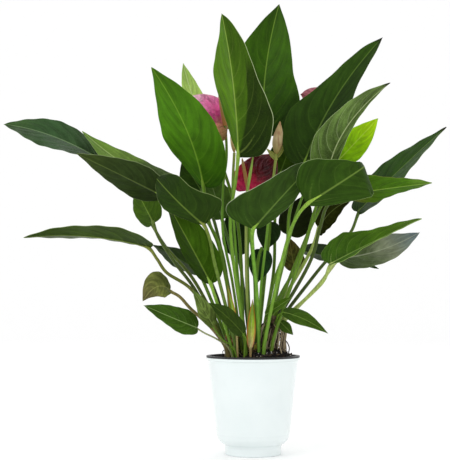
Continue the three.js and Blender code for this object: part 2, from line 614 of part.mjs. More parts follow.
// Buds: closed spathes on their stalks. The beige one has two small bracts.
const buds = {
  bud_beige: {
    foot: [8, -5], stalk: [[10, -8, 209], [17, -10, 273], [23, -10, 325], [30, -12, 384]],
    tip: [35, -12, 426], radius: 7.2,
    bracts: [
      { base: [31, -12, 376], tip: [17, -15, 391], faces: [0.3, -0.9, 0.4], width: 8 },
      { base: [31, -12, 380], tip: [43, -15, 400], faces: [-0.3, -0.9, 0.4], width: 8 },
    ],
  },
  bud_cream: {
    foot: [-8, -8], stalk: [[-19, -6, 222], [-24, -6, 286], [-26, -6, 344], [-24, -8, 386]],
    tip: [-28, -8, 419], radius: 3.4, bracts: [],
  },
};
for (const [name, bud] of Object.entries(buds)) {
  const points = [...rooted(...bud.foot, bud.stalk[0]), ...bud.stalk];
  const line = new THREE.LineCurve3(v3(points.at(-1)), v3(bud.tip));
  const swell = (t) => bud.radius * (0.12 + 0.88 * Math.sin(Math.PI * Math.min(1, t * 1.02) ** 0.75));
  let stalk = stem(points, () => STALK_RADIUS, 6, 2);
  for (const bract of bud.bracts) stalk = stalk.add(blade({ ...bract, lines: 4, strips: 1, wave: 0 }));
  add(name, tube(line, swell, 7, 8), BUD_BEIGE);
  add(`${name}_stalk`, stalk.subtract(tube(line, (t) => swell(t) + FIT, 7, 8, 7, FIT)), STALK_GREEN);
}

// Outer pot: a foot ring, a rounded corner, a tapered wall and a straight lip, with a hollow inside
const LIP_BOTTOM = POT_HEIGHT - LIP_HEIGHT;
const POT_INSIDE = [[RIM_RADIUS - 2.8, POT_HEIGHT], [45.2, 26], [41, 18], [34, 13.6], [33.8, 3]];
add("outer_pot", turned([
  [0, 0], [FOOT_RADIUS - 0.8, 0], [FOOT_RADIUS, 0.8], [FOOT_RADIUS, 9.5], [FOOT_RADIUS + 0.8, 12],
  [41, 15], [44.8, 19.6], [47, 27], [RIM_RADIUS - 1.7, LIP_BOTTOM - 0.5], [RIM_RADIUS, LIP_BOTTOM],
  [RIM_RADIUS, POT_HEIGHT], ...POT_INSIDE, [0, 3],
]), WHITE);

// Nursery pot: it hangs by its rim on the outer pot's lip
const LINER_TOP = POT_HEIGHT + FIT + LINER_RIM;
const linerOuter = RIM_RADIUS - 2.8 - FIT - 0.4;
add("nursery_pot", turned([
  [0, 17], [37.8, 17], [linerOuter, POT_HEIGHT - 1], [linerOuter, POT_HEIGHT + FIT],
  [RIM_RADIUS, POT_HEIGHT + FIT], [RIM_RADIUS, LINER_TOP], [linerOuter - WALL, LINER_TOP],
  [linerOuter - WALL, POT_HEIGHT - 1], [36.6, 18.4], [0, 18.4],
]), BLACK);

// Potting mix: a filled cone whose top follows soilHeight
function soilBody() {
  const rings = 4;
  const sectors = 22;
  const bottomZ = 18.4 + FIT;
  const rows = [];
  for (let i = 0; i <= rings; i++) {
    const row = [];
    for (let k = 0; k < sectors; k++) {
      const angle = (k / sectors) * Math.PI * 2;
      const r = (i / rings) * SOIL_RADIUS;
      const [x, y] = [r * Math.cos(angle), r * Math.sin(angle)];
      row.push(new THREE.Vector3(x, y, soilHeight(x, y)));
    }
    rows.push(row);
  }
  const ringAt = (radius, z) => Array.from({ length: sectors }, (_, k) => {
    const angle = (k / sectors) * Math.PI * 2;
    return new THREE.Vector3(radius * Math.cos(angle), radius * Math.sin(angle), z);
  });
  rows.push(ringAt(35.9, bottomZ), ringAt(0, bottomZ));
  const positions = [];
  const face = (a, b, c) => positions.push(...a.toArray(), ...b.toArray(), ...c.toArray());
  for (let i = 0; i < rows.length - 1; i++) {
    for (let k = 0; k < sectors; k++) {
      const next = (k + 1) % sectors;
      face(rows[i][k], rows[i + 1][k], rows[i + 1][next]);
      face(rows[i][k], rows[i + 1][next], rows[i][next]);
    }
  }
  const geometry = new THREE.BufferGeometry();
  geometry.setAttribute("position", new THREE.Float32BufferAttribute(positions, 3));
  return solid(geometry);
}

// Crowns: knobbly rhizomes that stand in the mix, with aerial roots that reach down into it.
// roots: for each, its bearing in degrees, the height it leaves from, and how far out it lands
const crowns = {
  crown_main: { path: [[-1, -2, 112], [-1, -2, 128], [-2, -1, 142]], radius: 9, roots: [] },
  crown_left: {
    path: [[-24, -5, 112], [-25, -5, 130], [-28, -5, 148]], radius: 7.5,
    roots: [[-70, 138, 13], [75, 134, 13]],
  },
  crown_right: {
    path: [[20, 2, 112], [24, 2, 140], [29, 2, 176]], radius: 9.5,
    roots: [[-100, 146, 13], [-58, 158, 14], [-20, 152, 15], [12, 163, 16], [60, 152, 15], [115, 158, 14]],
  },
};
const ROOT_RADIUS = 1.1;
const knobs = (radius) => (t) => radius * (0.92 + 0.1 * Math.sin(t * 22)) * (t > 0.97 ? 0.7 : 1);

// A root's curve: out of the crown's side and down into the mix
function rootCurve(path, [bearing, height, reach]) {
  const angle = THREE.MathUtils.degToRad(bearing);
  const [bottom, middle, top] = path;
  const t = (height - middle[2]) / (top[2] - middle[2]);
  const axis = [middle[0] + t * (top[0] - middle[0]), middle[1]];
  const at = (x, y, out, z) => [x + out * Math.cos(angle), y + out * Math.sin(angle), z];
  return smoothCurve([
    at(...axis, 4, height + 2),
    at(...axis, reach * 0.85, height - 5),
    at(middle[0], middle[1], reach, height * 0.4 + 73),
    at(bottom[0] + 2, bottom[1], reach + 1, SOIL_LEVEL - 7),
  ]);
}

let soil = soilBody();
const cut = (body) => holes.reduce((rest, hole) => rest.subtract(hole), body);
for (const [name, crown] of Object.entries(crowns)) {
  const path = smoothCurve(crown.path);
  let body = tube(path, knobs(crown.radius), 8, 8);
  soil = soil.subtract(tube(path, (t) => knobs(crown.radius)(t) + FIT + 0.1, 8, 8, 8, FIT));
  for (const root of crown.roots) {
    const curve = rootCurve(crown.path, root);
    body = body.add(tube(curve, () => ROOT_RADIUS, 3, 4));
    soil = soil.subtract(tube(curve, () => ROOT_RADIUS + FIT + 0.15, 3, 4).translate(0, 0, -FIT));
  }
  add(name, cut(body), CROWN_BROWN);
}
add("potting_mix", cut(soil), PEAT);

export default plant;
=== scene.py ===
"""Looks of a potted anthurium: veined leaves on their petioles, blooms, buds, crowns, mix and pot.

Every piece repeats the form of the CAD node that it replaces, finer. Lengths are in millimetres, as in
the CAD source, and turn to metres where a mesh is made. Colours are sRGB codes.
"""

import math

import bpy
import numpy as np
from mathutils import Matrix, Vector


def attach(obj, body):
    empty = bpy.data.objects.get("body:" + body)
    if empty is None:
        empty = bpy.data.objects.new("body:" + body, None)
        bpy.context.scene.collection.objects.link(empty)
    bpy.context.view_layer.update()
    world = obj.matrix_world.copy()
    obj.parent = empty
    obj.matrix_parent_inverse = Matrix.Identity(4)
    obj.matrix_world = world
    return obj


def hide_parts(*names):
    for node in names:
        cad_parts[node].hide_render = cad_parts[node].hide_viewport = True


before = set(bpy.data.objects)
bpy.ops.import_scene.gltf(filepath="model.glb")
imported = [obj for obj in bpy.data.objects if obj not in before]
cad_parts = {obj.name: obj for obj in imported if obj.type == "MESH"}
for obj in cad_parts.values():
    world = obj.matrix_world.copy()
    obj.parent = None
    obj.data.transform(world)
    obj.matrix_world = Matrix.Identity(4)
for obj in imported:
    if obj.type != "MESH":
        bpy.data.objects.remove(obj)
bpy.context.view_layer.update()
MM = 0.001
TURN = 2 * math.pi
draw = np.random.default_rng(7)

# Pot and mix
POT_HEIGHT = 123
RIM_RADIUS = 60
LIP_HEIGHT = 3
LIP_WIDTH = 2.8
FOOT_RADIUS = 36
WALL = 1.4
FIT = 0.3
LINER_RIM = 2
LINER_FLOOR = 18.4
SOIL_LEVEL = 121.5
SOIL_RADIUS = 54.4
MOUND_X, MOUND_HEIGHT, MOUND_SPREAD = 24, 13, 34
FOOT_DEPTH = 9
RISE = 14

# Leaves. The first FAN of a blade's lines start at the petiole's end, the others along the midrib.
BLADE_THICKNESS, RIM_THICKNESS = 0.62, 0.4
MIDRIB_DEPTH = 1.1
PETIOLE_RADIUS = 2.1
STALK_RADIUS = 1.8
FAN, FAN_POWER, STRIP_POWER = 0.24, 1.15, 1.25
SIDE_VEINS, VEIN_BEND = 9, 0.2
BASAL_START, BASAL_BEND, BASAL_WIDTH = 0.262, 0.3, 0.011
QUILT = 0.22

# Camera, found from the photograph: its lens is given in image heights
CAMERA_PLACE = (-0.036, -1.475, 0.202)
CAMERA_PITCH = math.radians(3.2825)
LENS_IN_HEIGHTS = 1143 / 460
SENSOR = 36


def smooth_curve(points, at):
    """Points of the centripetal Catmull-Rom curve through points, at each share from 0 to 1."""
    p = np.asarray(points, float)
    last = len(p) - 1
    ends = np.vstack([2 * p[0] - p[1], p, 2 * p[-1] - p[-2]])
    place = np.atleast_1d(np.asarray(at, float)) * last
    i = np.clip(place.astype(int), 0, last - 1)
    w = (place - i)[:, None]
    p0, p1, p2, p3 = (ends[i + k] for k in range(4))
    d0, d1, d2 = (
        np.maximum(np.sum((a - b) ** 2, axis=1, keepdims=True), 1e-8) ** 0.25
        for a, b in ((p0, p1), (p1, p2), (p2, p3))
    )
    start = ((p1 - p0) / d0 - (p2 - p0) / (d0 + d1) + (p2 - p1) / d1) * d1
    stop = ((p2 - p1) / d1 - (p3 - p1) / (d1 + d2) + (p3 - p2) / d2) * d1
    square = (-3 * p1 + 3 * p2 - 2 * start - stop) * w**2
    return p1 + start * w + square + (2 * p1 - 2 * p2 + start + stop) * w**3


def unit(v):
    """v, or each row of v, at length 1."""
    v = np.asarray(v, float)
    return v / np.maximum(np.linalg.norm(v, axis=-1, keepdims=True), 1e-9)


def ease(low, high, x):
    """Rises smoothly from 0 at low to 1 at high."""
    s = np.clip((np.asarray(x, float) - low) / (high - low), 0, 1)
    return s * s * (3 - 2 * s)


def soil_height(x, y):
    """Height of the potting mix, nearly level at the left and mounded at the right."""
    far = ((x - MOUND_X) / MOUND_SPREAD) ** 2 + (y / MOUND_SPREAD) ** 2
    edge = np.maximum(0, 1 - (np.hypot(x, y) / SOIL_RADIUS) ** 4)
    lumps = 1.1 * np.sin(x * 0.31 + 1.3) * np.cos(y * 0.27 - 0.4) + 0.8 * np.sin(x * 0.13 - y * 0.36)
    return SOIL_LEVEL + edge * (MOUND_HEIGHT * np.exp(-far) + lumps)


def ripple(points, scale, seed):
    """Smooth noise from -1 to 1 at each point: waves of seeded directions added up."""
    source = np.random.default_rng(seed)
    total = 0
    for k in range(7):
        direction = unit(source.normal(size=3)) * scale * (0.6 + 0.3 * k)
        total = total + np.sin(points @ direction + source.uniform(0, 6.3)) / (1 + 0.25 * k)
    return total / 4.2


def shares(count):
    """Even shares from 0 to 1."""
    return np.linspace(0, 1, count)


def new_object(name, data):
    """An object that is in the scene."""
    made = bpy.data.objects.new(name, data)
    bpy.context.scene.collection.objects.link(made)
    return made


class Body:
    """Gathers the points, faces and per-point values of one mesh."""

    VALUES = ("share", "phase", "along", "rib", "basal", "tone")

    def __init__(self):
        self.points, self.faces, self.slots, self.count = [], [], [], 0
        self.values = {key: [] for key in self.VALUES}

    def add(self, points, faces, slot=0, **values):
        points = np.asarray(points, float).reshape(-1, 3)
        self.points.append(points)
        self.join(faces, slot, self.count)
        for key in self.VALUES:
            value = np.asarray(values.get(key, 0), float).reshape(-1)
            self.values[key].append(np.broadcast_to(value, len(points)))
        self.count += len(points)

    def join(self, faces, slot, start):
        """Faces between points that are already there, counted from start."""
        self.faces.extend(tuple(int(i) + start for i in face) for face in faces)
        self.slots.extend([slot] * len(faces))

    def build(self, name, materials, nodes, sharp=50):
        """Makes the object, which rides on the root, and hides the CAD nodes that it stands for."""
        mesh = bpy.data.meshes.new(name)
        mesh.from_pydata((np.vstack(self.points) * MM).tolist(), [], self.faces)
        mesh.polygons.foreach_set("material_index", self.slots)
        for key, parts in self.values.items():
            whole = np.concatenate(parts)
            if whole.any():
                layer = mesh.attributes.new(key, "FLOAT", "POINT")
                layer.data.foreach_set("value", whole.astype(np.float32))
        for material in materials:
            mesh.materials.append(material)
        mesh.shade_smooth()
        mesh.set_sharp_from_angle(angle=math.radians(sharp))
        mesh.validate()
        piece = new_object(name, mesh)
        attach(piece, "root")
        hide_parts(*nodes)


def grid_faces(rows, columns, closed=False, flip=False):
    """Quads of a grid of points, counted row by row. closed joins the last column to the first."""
    faces = []
    for i in range(rows - 1):
        for j in range(columns if closed else columns - 1):
            k = (j + 1) % columns
            face = (i * columns + j, i * columns + k, (i + 1) * columns + k, (i + 1) * columns + j)
            faces.append(face[::-1] if flip else face)
    return faces


def add_rings(body, rings, poles, slot=0, flip=False, **values):
    """A closed skin over rings of points, with a pole at either end."""
    rows, sides = rings.shape[:2]
    faces = grid_faces(rows, sides, closed=True)
    low, last = rows * sides, (rows - 1) * sides
    for k in range(sides):
        n = (k + 1) % sides
        faces += [(low, n, k), (low + 1, last + k, last + n)]
    along = np.concatenate([np.repeat(shares(rows), sides), [0, 1]])
    faces = [face[::-1] for face in faces] if flip else faces
    body.add(np.vstack([rings.reshape(-1, 3), poles]), faces, slot, along=along, **values)


def ring_angles(count):
    return np.arange(count) / count * TURN


def add_tube(body, line, radii, sides, slot=0, profile=None):
    """A closed tube along a line of points. profile(angle, share) scales the radius round the tube."""
    tangents = unit(np.gradient(line, axis=0))
    guide = np.array([1.0, 0, 0]) if abs(tangents[0][1]) > 0.8 else np.array([0, 1.0, 0])
    across = []
    for tangent in tangents:
        guide = unit(guide - guide @ tangent * tangent)
        across.append(guide)
    other = np.cross(tangents, across)
    angle, rows = ring_angles(sides), len(line)
    radius = np.broadcast_to(np.asarray(radii, float), rows)[:, None] * np.ones(sides)
    if profile is not None:
        radius = radius * profile(angle[None, :], shares(rows)[:, None])
    sideways = (np.cos(angle) * radius)[..., None] * np.array(across)[:, None, :]
    rings = line[:, None, :] + sideways + (np.sin(angle) * radius)[..., None] * other[:, None, :]
    add_rings(body, rings, [line[0], line[-1]], slot)


def add_lathe(body, profile, segments):
    """A closed shape turned about Z. profile: [radius, z] from the axis round to the axis."""
    angle, inner = ring_angles(segments), profile[1:-1]
    radius, height = inner[:, :1], inner[:, 1:] + 0 * angle
    rings = np.stack([radius * np.cos(angle), radius * np.sin(angle), height], axis=2)
    add_rings(body, rings, [(0, 0, profile[0][1]), (0, 0, profile[-1][1])])


def outline(*points, start=(0.03, -0.012)):
    """Half of a blade's outline from the petiole's end round the lobe to the tip: x in half widths,
    y in lengths from the petiole's end."""
    return [start, *points, (0, 1)]


HEART = outline((0.28, -0.02), (0.58, 0.01), (0.84, 0.11), (1, 0.27), (0.97, 0.43), (0.79, 0.61),
                (0.47, 0.79), (0.14, 0.94))
SPATHE = outline((0.34, -0.13), (0.74, -0.08), (0.98, 0.1), (1, 0.32), (0.88, 0.55), (0.64, 0.75),
                 (0.32, 0.9), (0.08, 0.97), start=(0.03, -0.02))
WIDE_LATE = outline((0.2, 0.03), (0.46, 0.11), (0.74, 0.23), (0.96, 0.4), (1, 0.54), (0.84, 0.7),
                    (0.5, 0.85), (0.16, 0.96))


class Rib:
    """A blade's midrib: a quadratic curve through the points of its line, and the side direction."""

    def __init__(self, leaf):
        line = np.array(leaf["line"], float)
        self.base, self.tip = base, tip = line[0], line[-1]
        middle = line[1] if len(line) == 3 else (base + tip) / 2
        self.control = 2 * middle - (base + tip) / 2
        self.side = unit(np.cross(unit(tip - base), np.array(leaf["faces"], float)))
        self.length = np.linalg.norm(np.diff(self.point(shares(201)), axis=0), axis=1).sum()

    def point(self, t):
        t = np.asarray(t, float)[..., None]
        return self.base * (1 - t) ** 2 + self.control * 2 * t * (1 - t) + self.tip * t**2

    def tangent(self, t):
        t = np.asarray(t, float)[..., None]
        return unit((self.control - self.base) * (1 - t) + (self.tip - self.control) * t)


def blade_points(leaf, rib, across, along, below):
    """Points of a blade: across in mm from the midrib, along in lengths, below in mm under the top."""
    across, along, below = np.broadcast_arrays(*(np.asarray(v, float) for v in (across, along, below)))
    t = np.clip(along, 0, 1)
    tangent = rib.tangent(t)
    centre = rib.point(t) + tangent * (np.minimum(along, 0) * rib.length)[..., None]
    side = unit(rib.side - (tangent @ rib.side)[..., None] * tangent)
    twist = np.radians(leaf.get("twist", 0)) * (along - 0.5)
    side = side * np.cos(twist)[..., None] + np.cross(tangent, side) * np.sin(twist)[..., None]
    normal = unit(np.cross(side, tangent))
    fold = math.radians(leaf.get("fold", 12))
    share = np.abs(across) / (leaf["width"] / 2)
    phase = leaf["width"] + np.where(across > 0, 0, 1.9)
    wave = leaf.get("wave", 1.6) * share**2 * np.sin(along * 9 + phase)
    rise = math.sin(fold) * np.abs(across) * (1 - 0.25 * share) + wave - below
    return centre + side * (across * math.cos(fold))[..., None] + normal * rise[..., None]


def add_blade(body, leaf, shape=HEART, lines=96, strips=11, slots=(0, 1), quilt=QUILT, seed=0):
    """A veined blade: its top, its underside with a raised midrib, and the thin rim between them."""
    rib = Rib(leaf)
    t = shares(lines + 1)[:, None]
    origin = np.maximum(0, (t - FAN) / (1 - FAN)) ** FAN_POWER
    rank = np.arange(-strips, strips + 1)
    sign = np.sign(rank)
    share = (np.abs(rank) / strips) ** STRIP_POWER
    minus, plus = (smooth_curve(leaf.get(key, shape), t[:, 0]) for key in ("minus", "plus"))
    edge = np.stack([minus if j < 0 else plus for j in rank], axis=1)
    slender = np.clip((edge[..., 1] - 0.3) / 0.7, 0, 1)
    neck = 1 - leaf.get("pinch", 0) * np.sin(math.pi * slender)
    along = origin + share * (edge[..., 1] - origin)
    lean = 1 + sign * leaf.get("lean", 0)
    across = leaf["width"] / 2 * sign * share * edge[..., 0] * lean * neck

    phase = SIDE_VEINS * (t - VEIN_BEND * share**2 + 0.004 * sign)
    nearest = np.abs(phase - np.round(phase))
    size = np.clip(leaf["width"] / 60, 0.35, 1)
    quilted = quilt * size * (ease(0, 0.5, nearest) - 0.5)
    quilted = quilted * ease(0.02, 0.2, share) * (1 - ease(0.8, 1, share))
    ripples = 0.5 * size * share**3 * np.sin(along * 37 + 2 * seed + 1.3 * sign)
    from_rib = np.abs(across) / (size * (1.3 * (1 - 0.8 * origin) + 0.25))
    ridge = np.exp(-((from_rib / 0.75) ** 2)) * (1 - origin) * (1 - 0.9 * ease(0.5, 1, t))
    basal = np.abs(t - BASAL_START - BASAL_BEND * share**2) / BASAL_WIDTH + 1.6 * ease(0.3, 0.8, share)
    basal_ridge = 0.35 * size * np.exp(-(basal**2)) * ease(0.03, 0.12, share)
    thick = BLADE_THICKNESS + (RIM_THICKNESS - BLADE_THICKNESS) * ease(0.9, 1, share)
    top = blade_points(leaf, rib, across, along, 0.25 * ridge - quilted - ripples + basal_ridge * 0.4)
    under = thick + MIDRIB_DEPTH * size * ridge - quilted - ripples + basal_ridge
    bottom = blade_points(leaf, rib, across, along, under)

    columns, rows = len(rank), lines + 1
    marks = {"share": share * sign + 0 * t, "phase": phase, "along": along, "rib": from_rib, "basal": basal}
    body.add(top, grid_faces(rows, columns), slots[0], **marks)
    body.add(bottom, grid_faces(rows, columns, flip=True), slots[1], **marks)
    face = rows * columns
    rim = [(j + 1, j, face + j, face + j + 1) for j in range(columns - 1)]
    for i in range(lines):
        a, b = i * columns, (i + 1) * columns
        rim.append((a, b, b + face, a + face))
        a, b = a + columns - 1, b + columns - 1
        rim.append((b, a, a + face, b + face))
    body.join(rim, slots[1], body.count - 2 * face)


def rooted(x, y, ahead):
    """A stem's foot in the mix, and a point just above it where the stem starts to lean outwards."""
    foot = soil_height(x, y) - FOOT_DEPTH
    share = 0.5 * (FOOT_DEPTH + RISE) / (ahead[2] - foot)
    return [(x, y, foot), (x + share * (ahead[0] - x), y + share * (ahead[1] - y), foot + FOOT_DEPTH + RISE)]


def add_stem(body, points, radius, sides=14, steps=10, slot=0, profile=None):
    """A round stem on the smooth curve through points. radius may be a function of share and joint."""
    last = len(points) - 1
    at = shares(last * steps + 1)
    radii = radius(at, at * last) if callable(radius) else radius
    add_tube(body, smooth_curve(points, at), radii, sides, slot, profile)


def add_stalk(body, plant, *ahead):
    add_stem(body, [*rooted(*plant["foot"], plant["stalk"][0]), *plant["stalk"], *ahead], STALK_RADIUS)


def add_petiole(body, leaf):
    """A petiole, thickest at the knee below the blade."""
    rib = Rib(leaf)
    knee, end = blade_points(leaf, rib, 0, 0, 1.3), blade_points(leaf, rib, 0, 0.09, 1)
    ahead = [*leaf.get("via", []), tuple(knee), tuple(end)]
    foot = leaf["foot"]
    points = [*([foot] if len(foot) == 3 else rooted(*foot, ahead[0])), *ahead]
    last = len(points) - 1

    def radius(t, joint):
        knee = 0.3 * np.maximum(0, 1 - np.abs(joint - last + 1) / 0.5)
        slim = 1 - 0.6 * ease(last - 1, last, joint)
        return leaf.get("radius", PETIOLE_RADIUS) * (1.12 - 0.25 * t + knee) * slim

    add_stem(body, points, radius, sides=12, steps=9, slot=2)


# Colours


def rgb(code, gain=1.0):
    """A linear colour from an sRGB code such as 0x6f9a2a."""
    parts = [((code >> shift) & 255) / 255 for shift in (16, 8, 0)]
    line = [p / 12.92 if p <= 0.04045 else ((p + 0.055) / 1.055) ** 2.4 for p in parts]
    return (*[min(1, p * gain) for p in line], 1)


def blend(a, b, share):
    """The sRGB code between two others."""
    parts = [round(((a >> s) & 255) * (1 - share) + ((b >> s) & 255) * share) for s in (16, 8, 0)]
    return parts[0] << 16 | parts[1] << 8 | parts[2]


def stops(shades):
    """Pairs of place and code. A float places the code after it. Else the first code lies at 0, the last
    at 1 and one between them at 0.5."""
    pairs, place = [], None
    for k, item in enumerate(shades):
        if isinstance(item, float):
            place = item
            continue
        usual = 0 if k == 0 else 1 if k == len(shades) - 1 else 0.5
        pairs.append((usual if place is None else place, item))
        place = None
    return pairs


def blended(shades, other, share):
    """Shades with each of their codes blended with another."""
    return [item if isinstance(item, float) else blend(item, other, share) for item in shades]


class Look:
    """One node material round a single Principled shader. mirror, coat: how glossy its skin is."""

    def __init__(self, name, mirror, coat=(0, 0.03)):
        self.material = bpy.data.materials.new(name)
        self.material.use_nodes = True
        self.tree = self.material.node_tree
        self.shader = next(n for n in self.tree.nodes if n.type == "BSDF_PRINCIPLED")
        for key, value in zip(("Specular IOR Level", "Coat Weight", "Coat Roughness"), (mirror, *coat)):
            self.shader.inputs[key].default_value = value
        self.place = self.node("ShaderNodeTexCoord").outputs["Object"]

    def node(self, kind, inputs=(), **settings):
        made = self.tree.nodes.new(kind)
        for key, value in settings.items():
            setattr(made, key, value)
        for key, value in dict(inputs).items():
            self.put(made.inputs[key], value)
        return made

    def put(self, socket, value):
        if isinstance(value, bpy.types.NodeSocket):
            self.tree.links.new(value, socket)
        elif value is not None:
            socket.default_value = value

    def value(self, name):
        return self.node("ShaderNodeAttribute", attribute_name=name).outputs["Fac"]

    def math(self, operation, *inputs):
        return self.node("ShaderNodeMath", dict(enumerate(inputs)), operation=operation).outputs[0]

    def times(self, a, b):
        return self.math("MULTIPLY", a, b)

    def plus(self, a, b):
        return self.math("ADD", a, b)

    def span(self, value, low, high, to_low=0.0, to_high=1.0):
        """value, brought smoothly from low..high to to_low..to_high."""
        inputs = {"Value": value, "From Min": low, "From Max": high, "To Min": to_low, "To Max": to_high}
        return self.node("ShaderNodeMapRange", inputs, interpolation_type="SMOOTHSTEP").outputs["Result"]

    def vary(self, noise, low, high):
        """A noise, whose values lie about 0.5, brought to low..high."""
        return self.span(noise, 0.3, 0.7, low, high)

    def noise(self, scale, detail, rough, stretch=None, warp=0.0, at=None):
        """Noise at the object's coordinates, which stretch scales, or at another place."""
        at = self.place if at is None else at
        if stretch is not None:
            at = self.node("ShaderNodeMapping", {"Vector": at, "Scale": stretch}).outputs[0]
        inputs = {"Vector": at, "Scale": scale, "Detail": detail, "Roughness": rough, "Distortion": warp}
        return self.node("ShaderNodeTexNoise", inputs).outputs["Fac"]

    def cells(self, scale):
        """Distance to the nearest cell edge."""
        inputs = {"Vector": self.place, "Scale": scale}
        return self.node("ShaderNodeTexVoronoi", inputs, feature="DISTANCE_TO_EDGE").outputs["Distance"]

    def ramp(self, value, shades, gain=1.0):
        made = self.node("ShaderNodeValToRGB", {"Fac": value})
        scale, pairs = made.color_ramp, stops(shades)
        for element, (place, code) in zip(scale.elements, (pairs[0], pairs[-1])):
            element.position, element.color = place, rgb(code, gain)
        for place, code in pairs[1:-1]:
            scale.elements.new(place).color = rgb(code, gain)
        return made.outputs["Color"]

    def drifting(self, shades, scale, reach, gain=1.0):
        """Shades along the blade, shifted about by a noise, and that noise."""
        cloud = self.noise(scale, 4, 0.6)
        shift = self.math("SUBTRACT", cloud, 0.5)
        return self.ramp(self.math("MULTIPLY_ADD", shift, reach, self.value("along")), shades, gain), cloud

    def mix(self, share, a, b, way="MIX"):
        """Colour a with share of b over it. b may be a code."""
        made = self.node("ShaderNodeMix", data_type="RGBA", blend_type=way)
        for key, value in ((0, share), (6, a), (7, rgb(b) if isinstance(b, int) else b)):
            self.put(made.inputs[key], value)
        return made.outputs[2]

    def dim(self, color, by):
        return self.mix(1.0, color, by, "MULTIPLY")

    def done(self, color, rough, height=None, distance=0.0, strength=0.0):
        """The material, with its colour, its roughness and a bump."""
        self.put(self.shader.inputs["Base Color"], color)
        self.put(self.shader.inputs["Roughness"], rough)
        if height is not None:
            bump = self.node("ShaderNodeBump", {"Height": height, "Distance": distance, "Strength": strength})
            self.put(self.shader.inputs["Normal"], bump.outputs["Normal"])
        return self.material


def leaf_look(name, shades, rib, tint=(1, 1), rough=0.4, veins=0.3, patches=0.16, edge=None, drip=None,
              dusk=None, gloss=0.06, depth=0.8, rim=0.982):
    """A leaf's surface: shades from base to tip, pale midrib and side veins, a fine net, patches, soft bands
    of painted sheen along the blade, and a painted highlight along the rim.

    tint: how bright the two halves are, painted light and shade: one half lit, the other in shade.
    edge: the rim's colour, which on green leaves is a painted highlight. drip: the drip tip's colour.
    dusk: the half (1 or -1) whose outer part lies in shade, from how far out, as far along the
    blade as where, and how bright it is. gloss: how much the skin mirrors. depth: how bright all
    shades are. rim: where the edge's colour starts, as a share of the half width.
    """
    look = Look(name, gloss)
    along, share, phase = look.value("along"), look.value("share"), look.value("phase")
    outward = look.math("ABSOLUTE", share)
    color, cloud = look.drifting(shades, 38, 0.35, depth)
    # Painted light and shade: one half of the blade brighter, the other darker, as the light falls on them.
    color = look.dim(color, look.span(share, -0.2, 0.2, *tint))
    spots = look.noise(150, 5, 0.65, warp=0.6)
    both = look.plus(look.times(cloud, 0.6), look.times(spots, 0.4))
    color = look.dim(color, look.vary(both, 1 - patches, 1 + patches))

    if dusk is not None:
        half, out, reach, dark = dusk
        beyond = look.math("SUBTRACT", look.times(share, half), look.times(along, 1.15))
        outer, near = look.span(beyond, out - 0.05, out + 0.05), look.span(along, reach, reach + 0.25, 1, 0)
        color = look.dim(color, look.span(look.times(outer, near), 0, 1, 1, dark))

    net = look.cells(310)
    lines = look.span(net, 0, 0.06, 1, 0)
    near_vein = look.span(look.math("PINGPONG", phase, 0.5), 0, 0.05, 1, 0)
    side = look.times(near_vein, look.span(outward, 0.7, 1, 1, 0))
    main = look.span(look.value("rib"), 0.3, 1.25, 1, 0)
    basal = look.span(look.value("basal"), 0, 1.3, 1, 0)
    pale = rgb(rib, 0.85)
    # Painted sheen: soft brighter and darker bands along the blade, as strong as the patches.
    flow = {"X": look.times(phase, 1.3), "Y": look.times(share, 1.1), "Z": along}
    sheen_bands = look.noise(1.6, 3, 0.5, at=look.node("ShaderNodeCombineXYZ", flow).outputs[0])
    color = look.dim(color, look.vary(sheen_bands, 1 - 1.3 * patches, 1 + 1.3 * patches))
    for line, strength in ((lines, 0.2 * veins), (side, 0.6 * veins), (basal, min(1, 1.6 * veins)),
                           (main, min(1, 0.3 + 1.6 * veins))):
        color = look.mix(look.times(line, strength), color, pale)
    # Pale rim along the margin: a painted highlight on the green leaves; the sheath's red rim and old_left's
    # brown rim are their own edge colours.
    rim_highlight_and_edge_code = blend(shades[0], rib, 0.4) if edge is None else edge
    color = look.mix(look.span(outward, rim, 0.998, 0, 0.75), color, rim_highlight_and_edge_code)
    if drip is not None:
        color = look.mix(look.span(along, 0.93, 0.99), color, drip)

    raised = look.plus(look.times(look.span(net, 0, 0.12), 0.5), look.times(spots, 0.8))
    raised = look.math("SUBTRACT", raised, look.times(side, 0.8))
    return look.done(color, look.vary(spots, rough - 0.06, rough + 0.08), raised, 0.00022, 0.5)


def stem_look(name, shades, rough=0.45, flecks=0.25):
    """A petiole's or stalk's skin: shades from foot to top, with fine streaks and flecks."""
    look = Look(name, 0.2)
    streaks, dots = look.noise(520, 3, 0.6, (1, 1, 0.06)), look.noise(900, 2, 0.6)
    color = look.dim(look.ramp(look.value("along"), shades), look.vary(streaks, 1 - flecks, 1 + flecks * 0.8))
    color = look.mix(look.span(dots, 0.62, 0.74, 0, 0.35), color, blend(shades[0], 0x3a2414, 0.5))
    return look.done(color, look.vary(dots, rough - 0.08, rough + 0.1), streaks, 0.00025, 0.5)


# Leaves, with their forms as in the CAD source
LEAVES = {}
PETIOLE = (0x6a7a24, 0.15, 0x5a7c1e, 0.75, 0x587c1c, 0x7c9a32)


def leaf(name, foot, via, line, faces, width, shades, rib, veins, petiole=PETIOLE, **more):
    """Notes a leaf. foot: where its petiole stands. via: points that the petiole passes. line: the
    midrib's base, middle and tip. faces: where the upper face looks. plus, minus: outlines of the halves.
    The look is the one seen from the camera, with the light and shade that fall on each leaf painted into
    its shades: shades from base to tip, the rib's colour, how strong the veins are, the petiole's shades,
    and what else leaf_look takes.
    """
    LEAVES["leaf_" + name] = dict(foot=foot, via=via, line=line, faces=faces, width=width, shades=shades,
                                  rib=rib, veins=veins, petiole=petiole, **more)


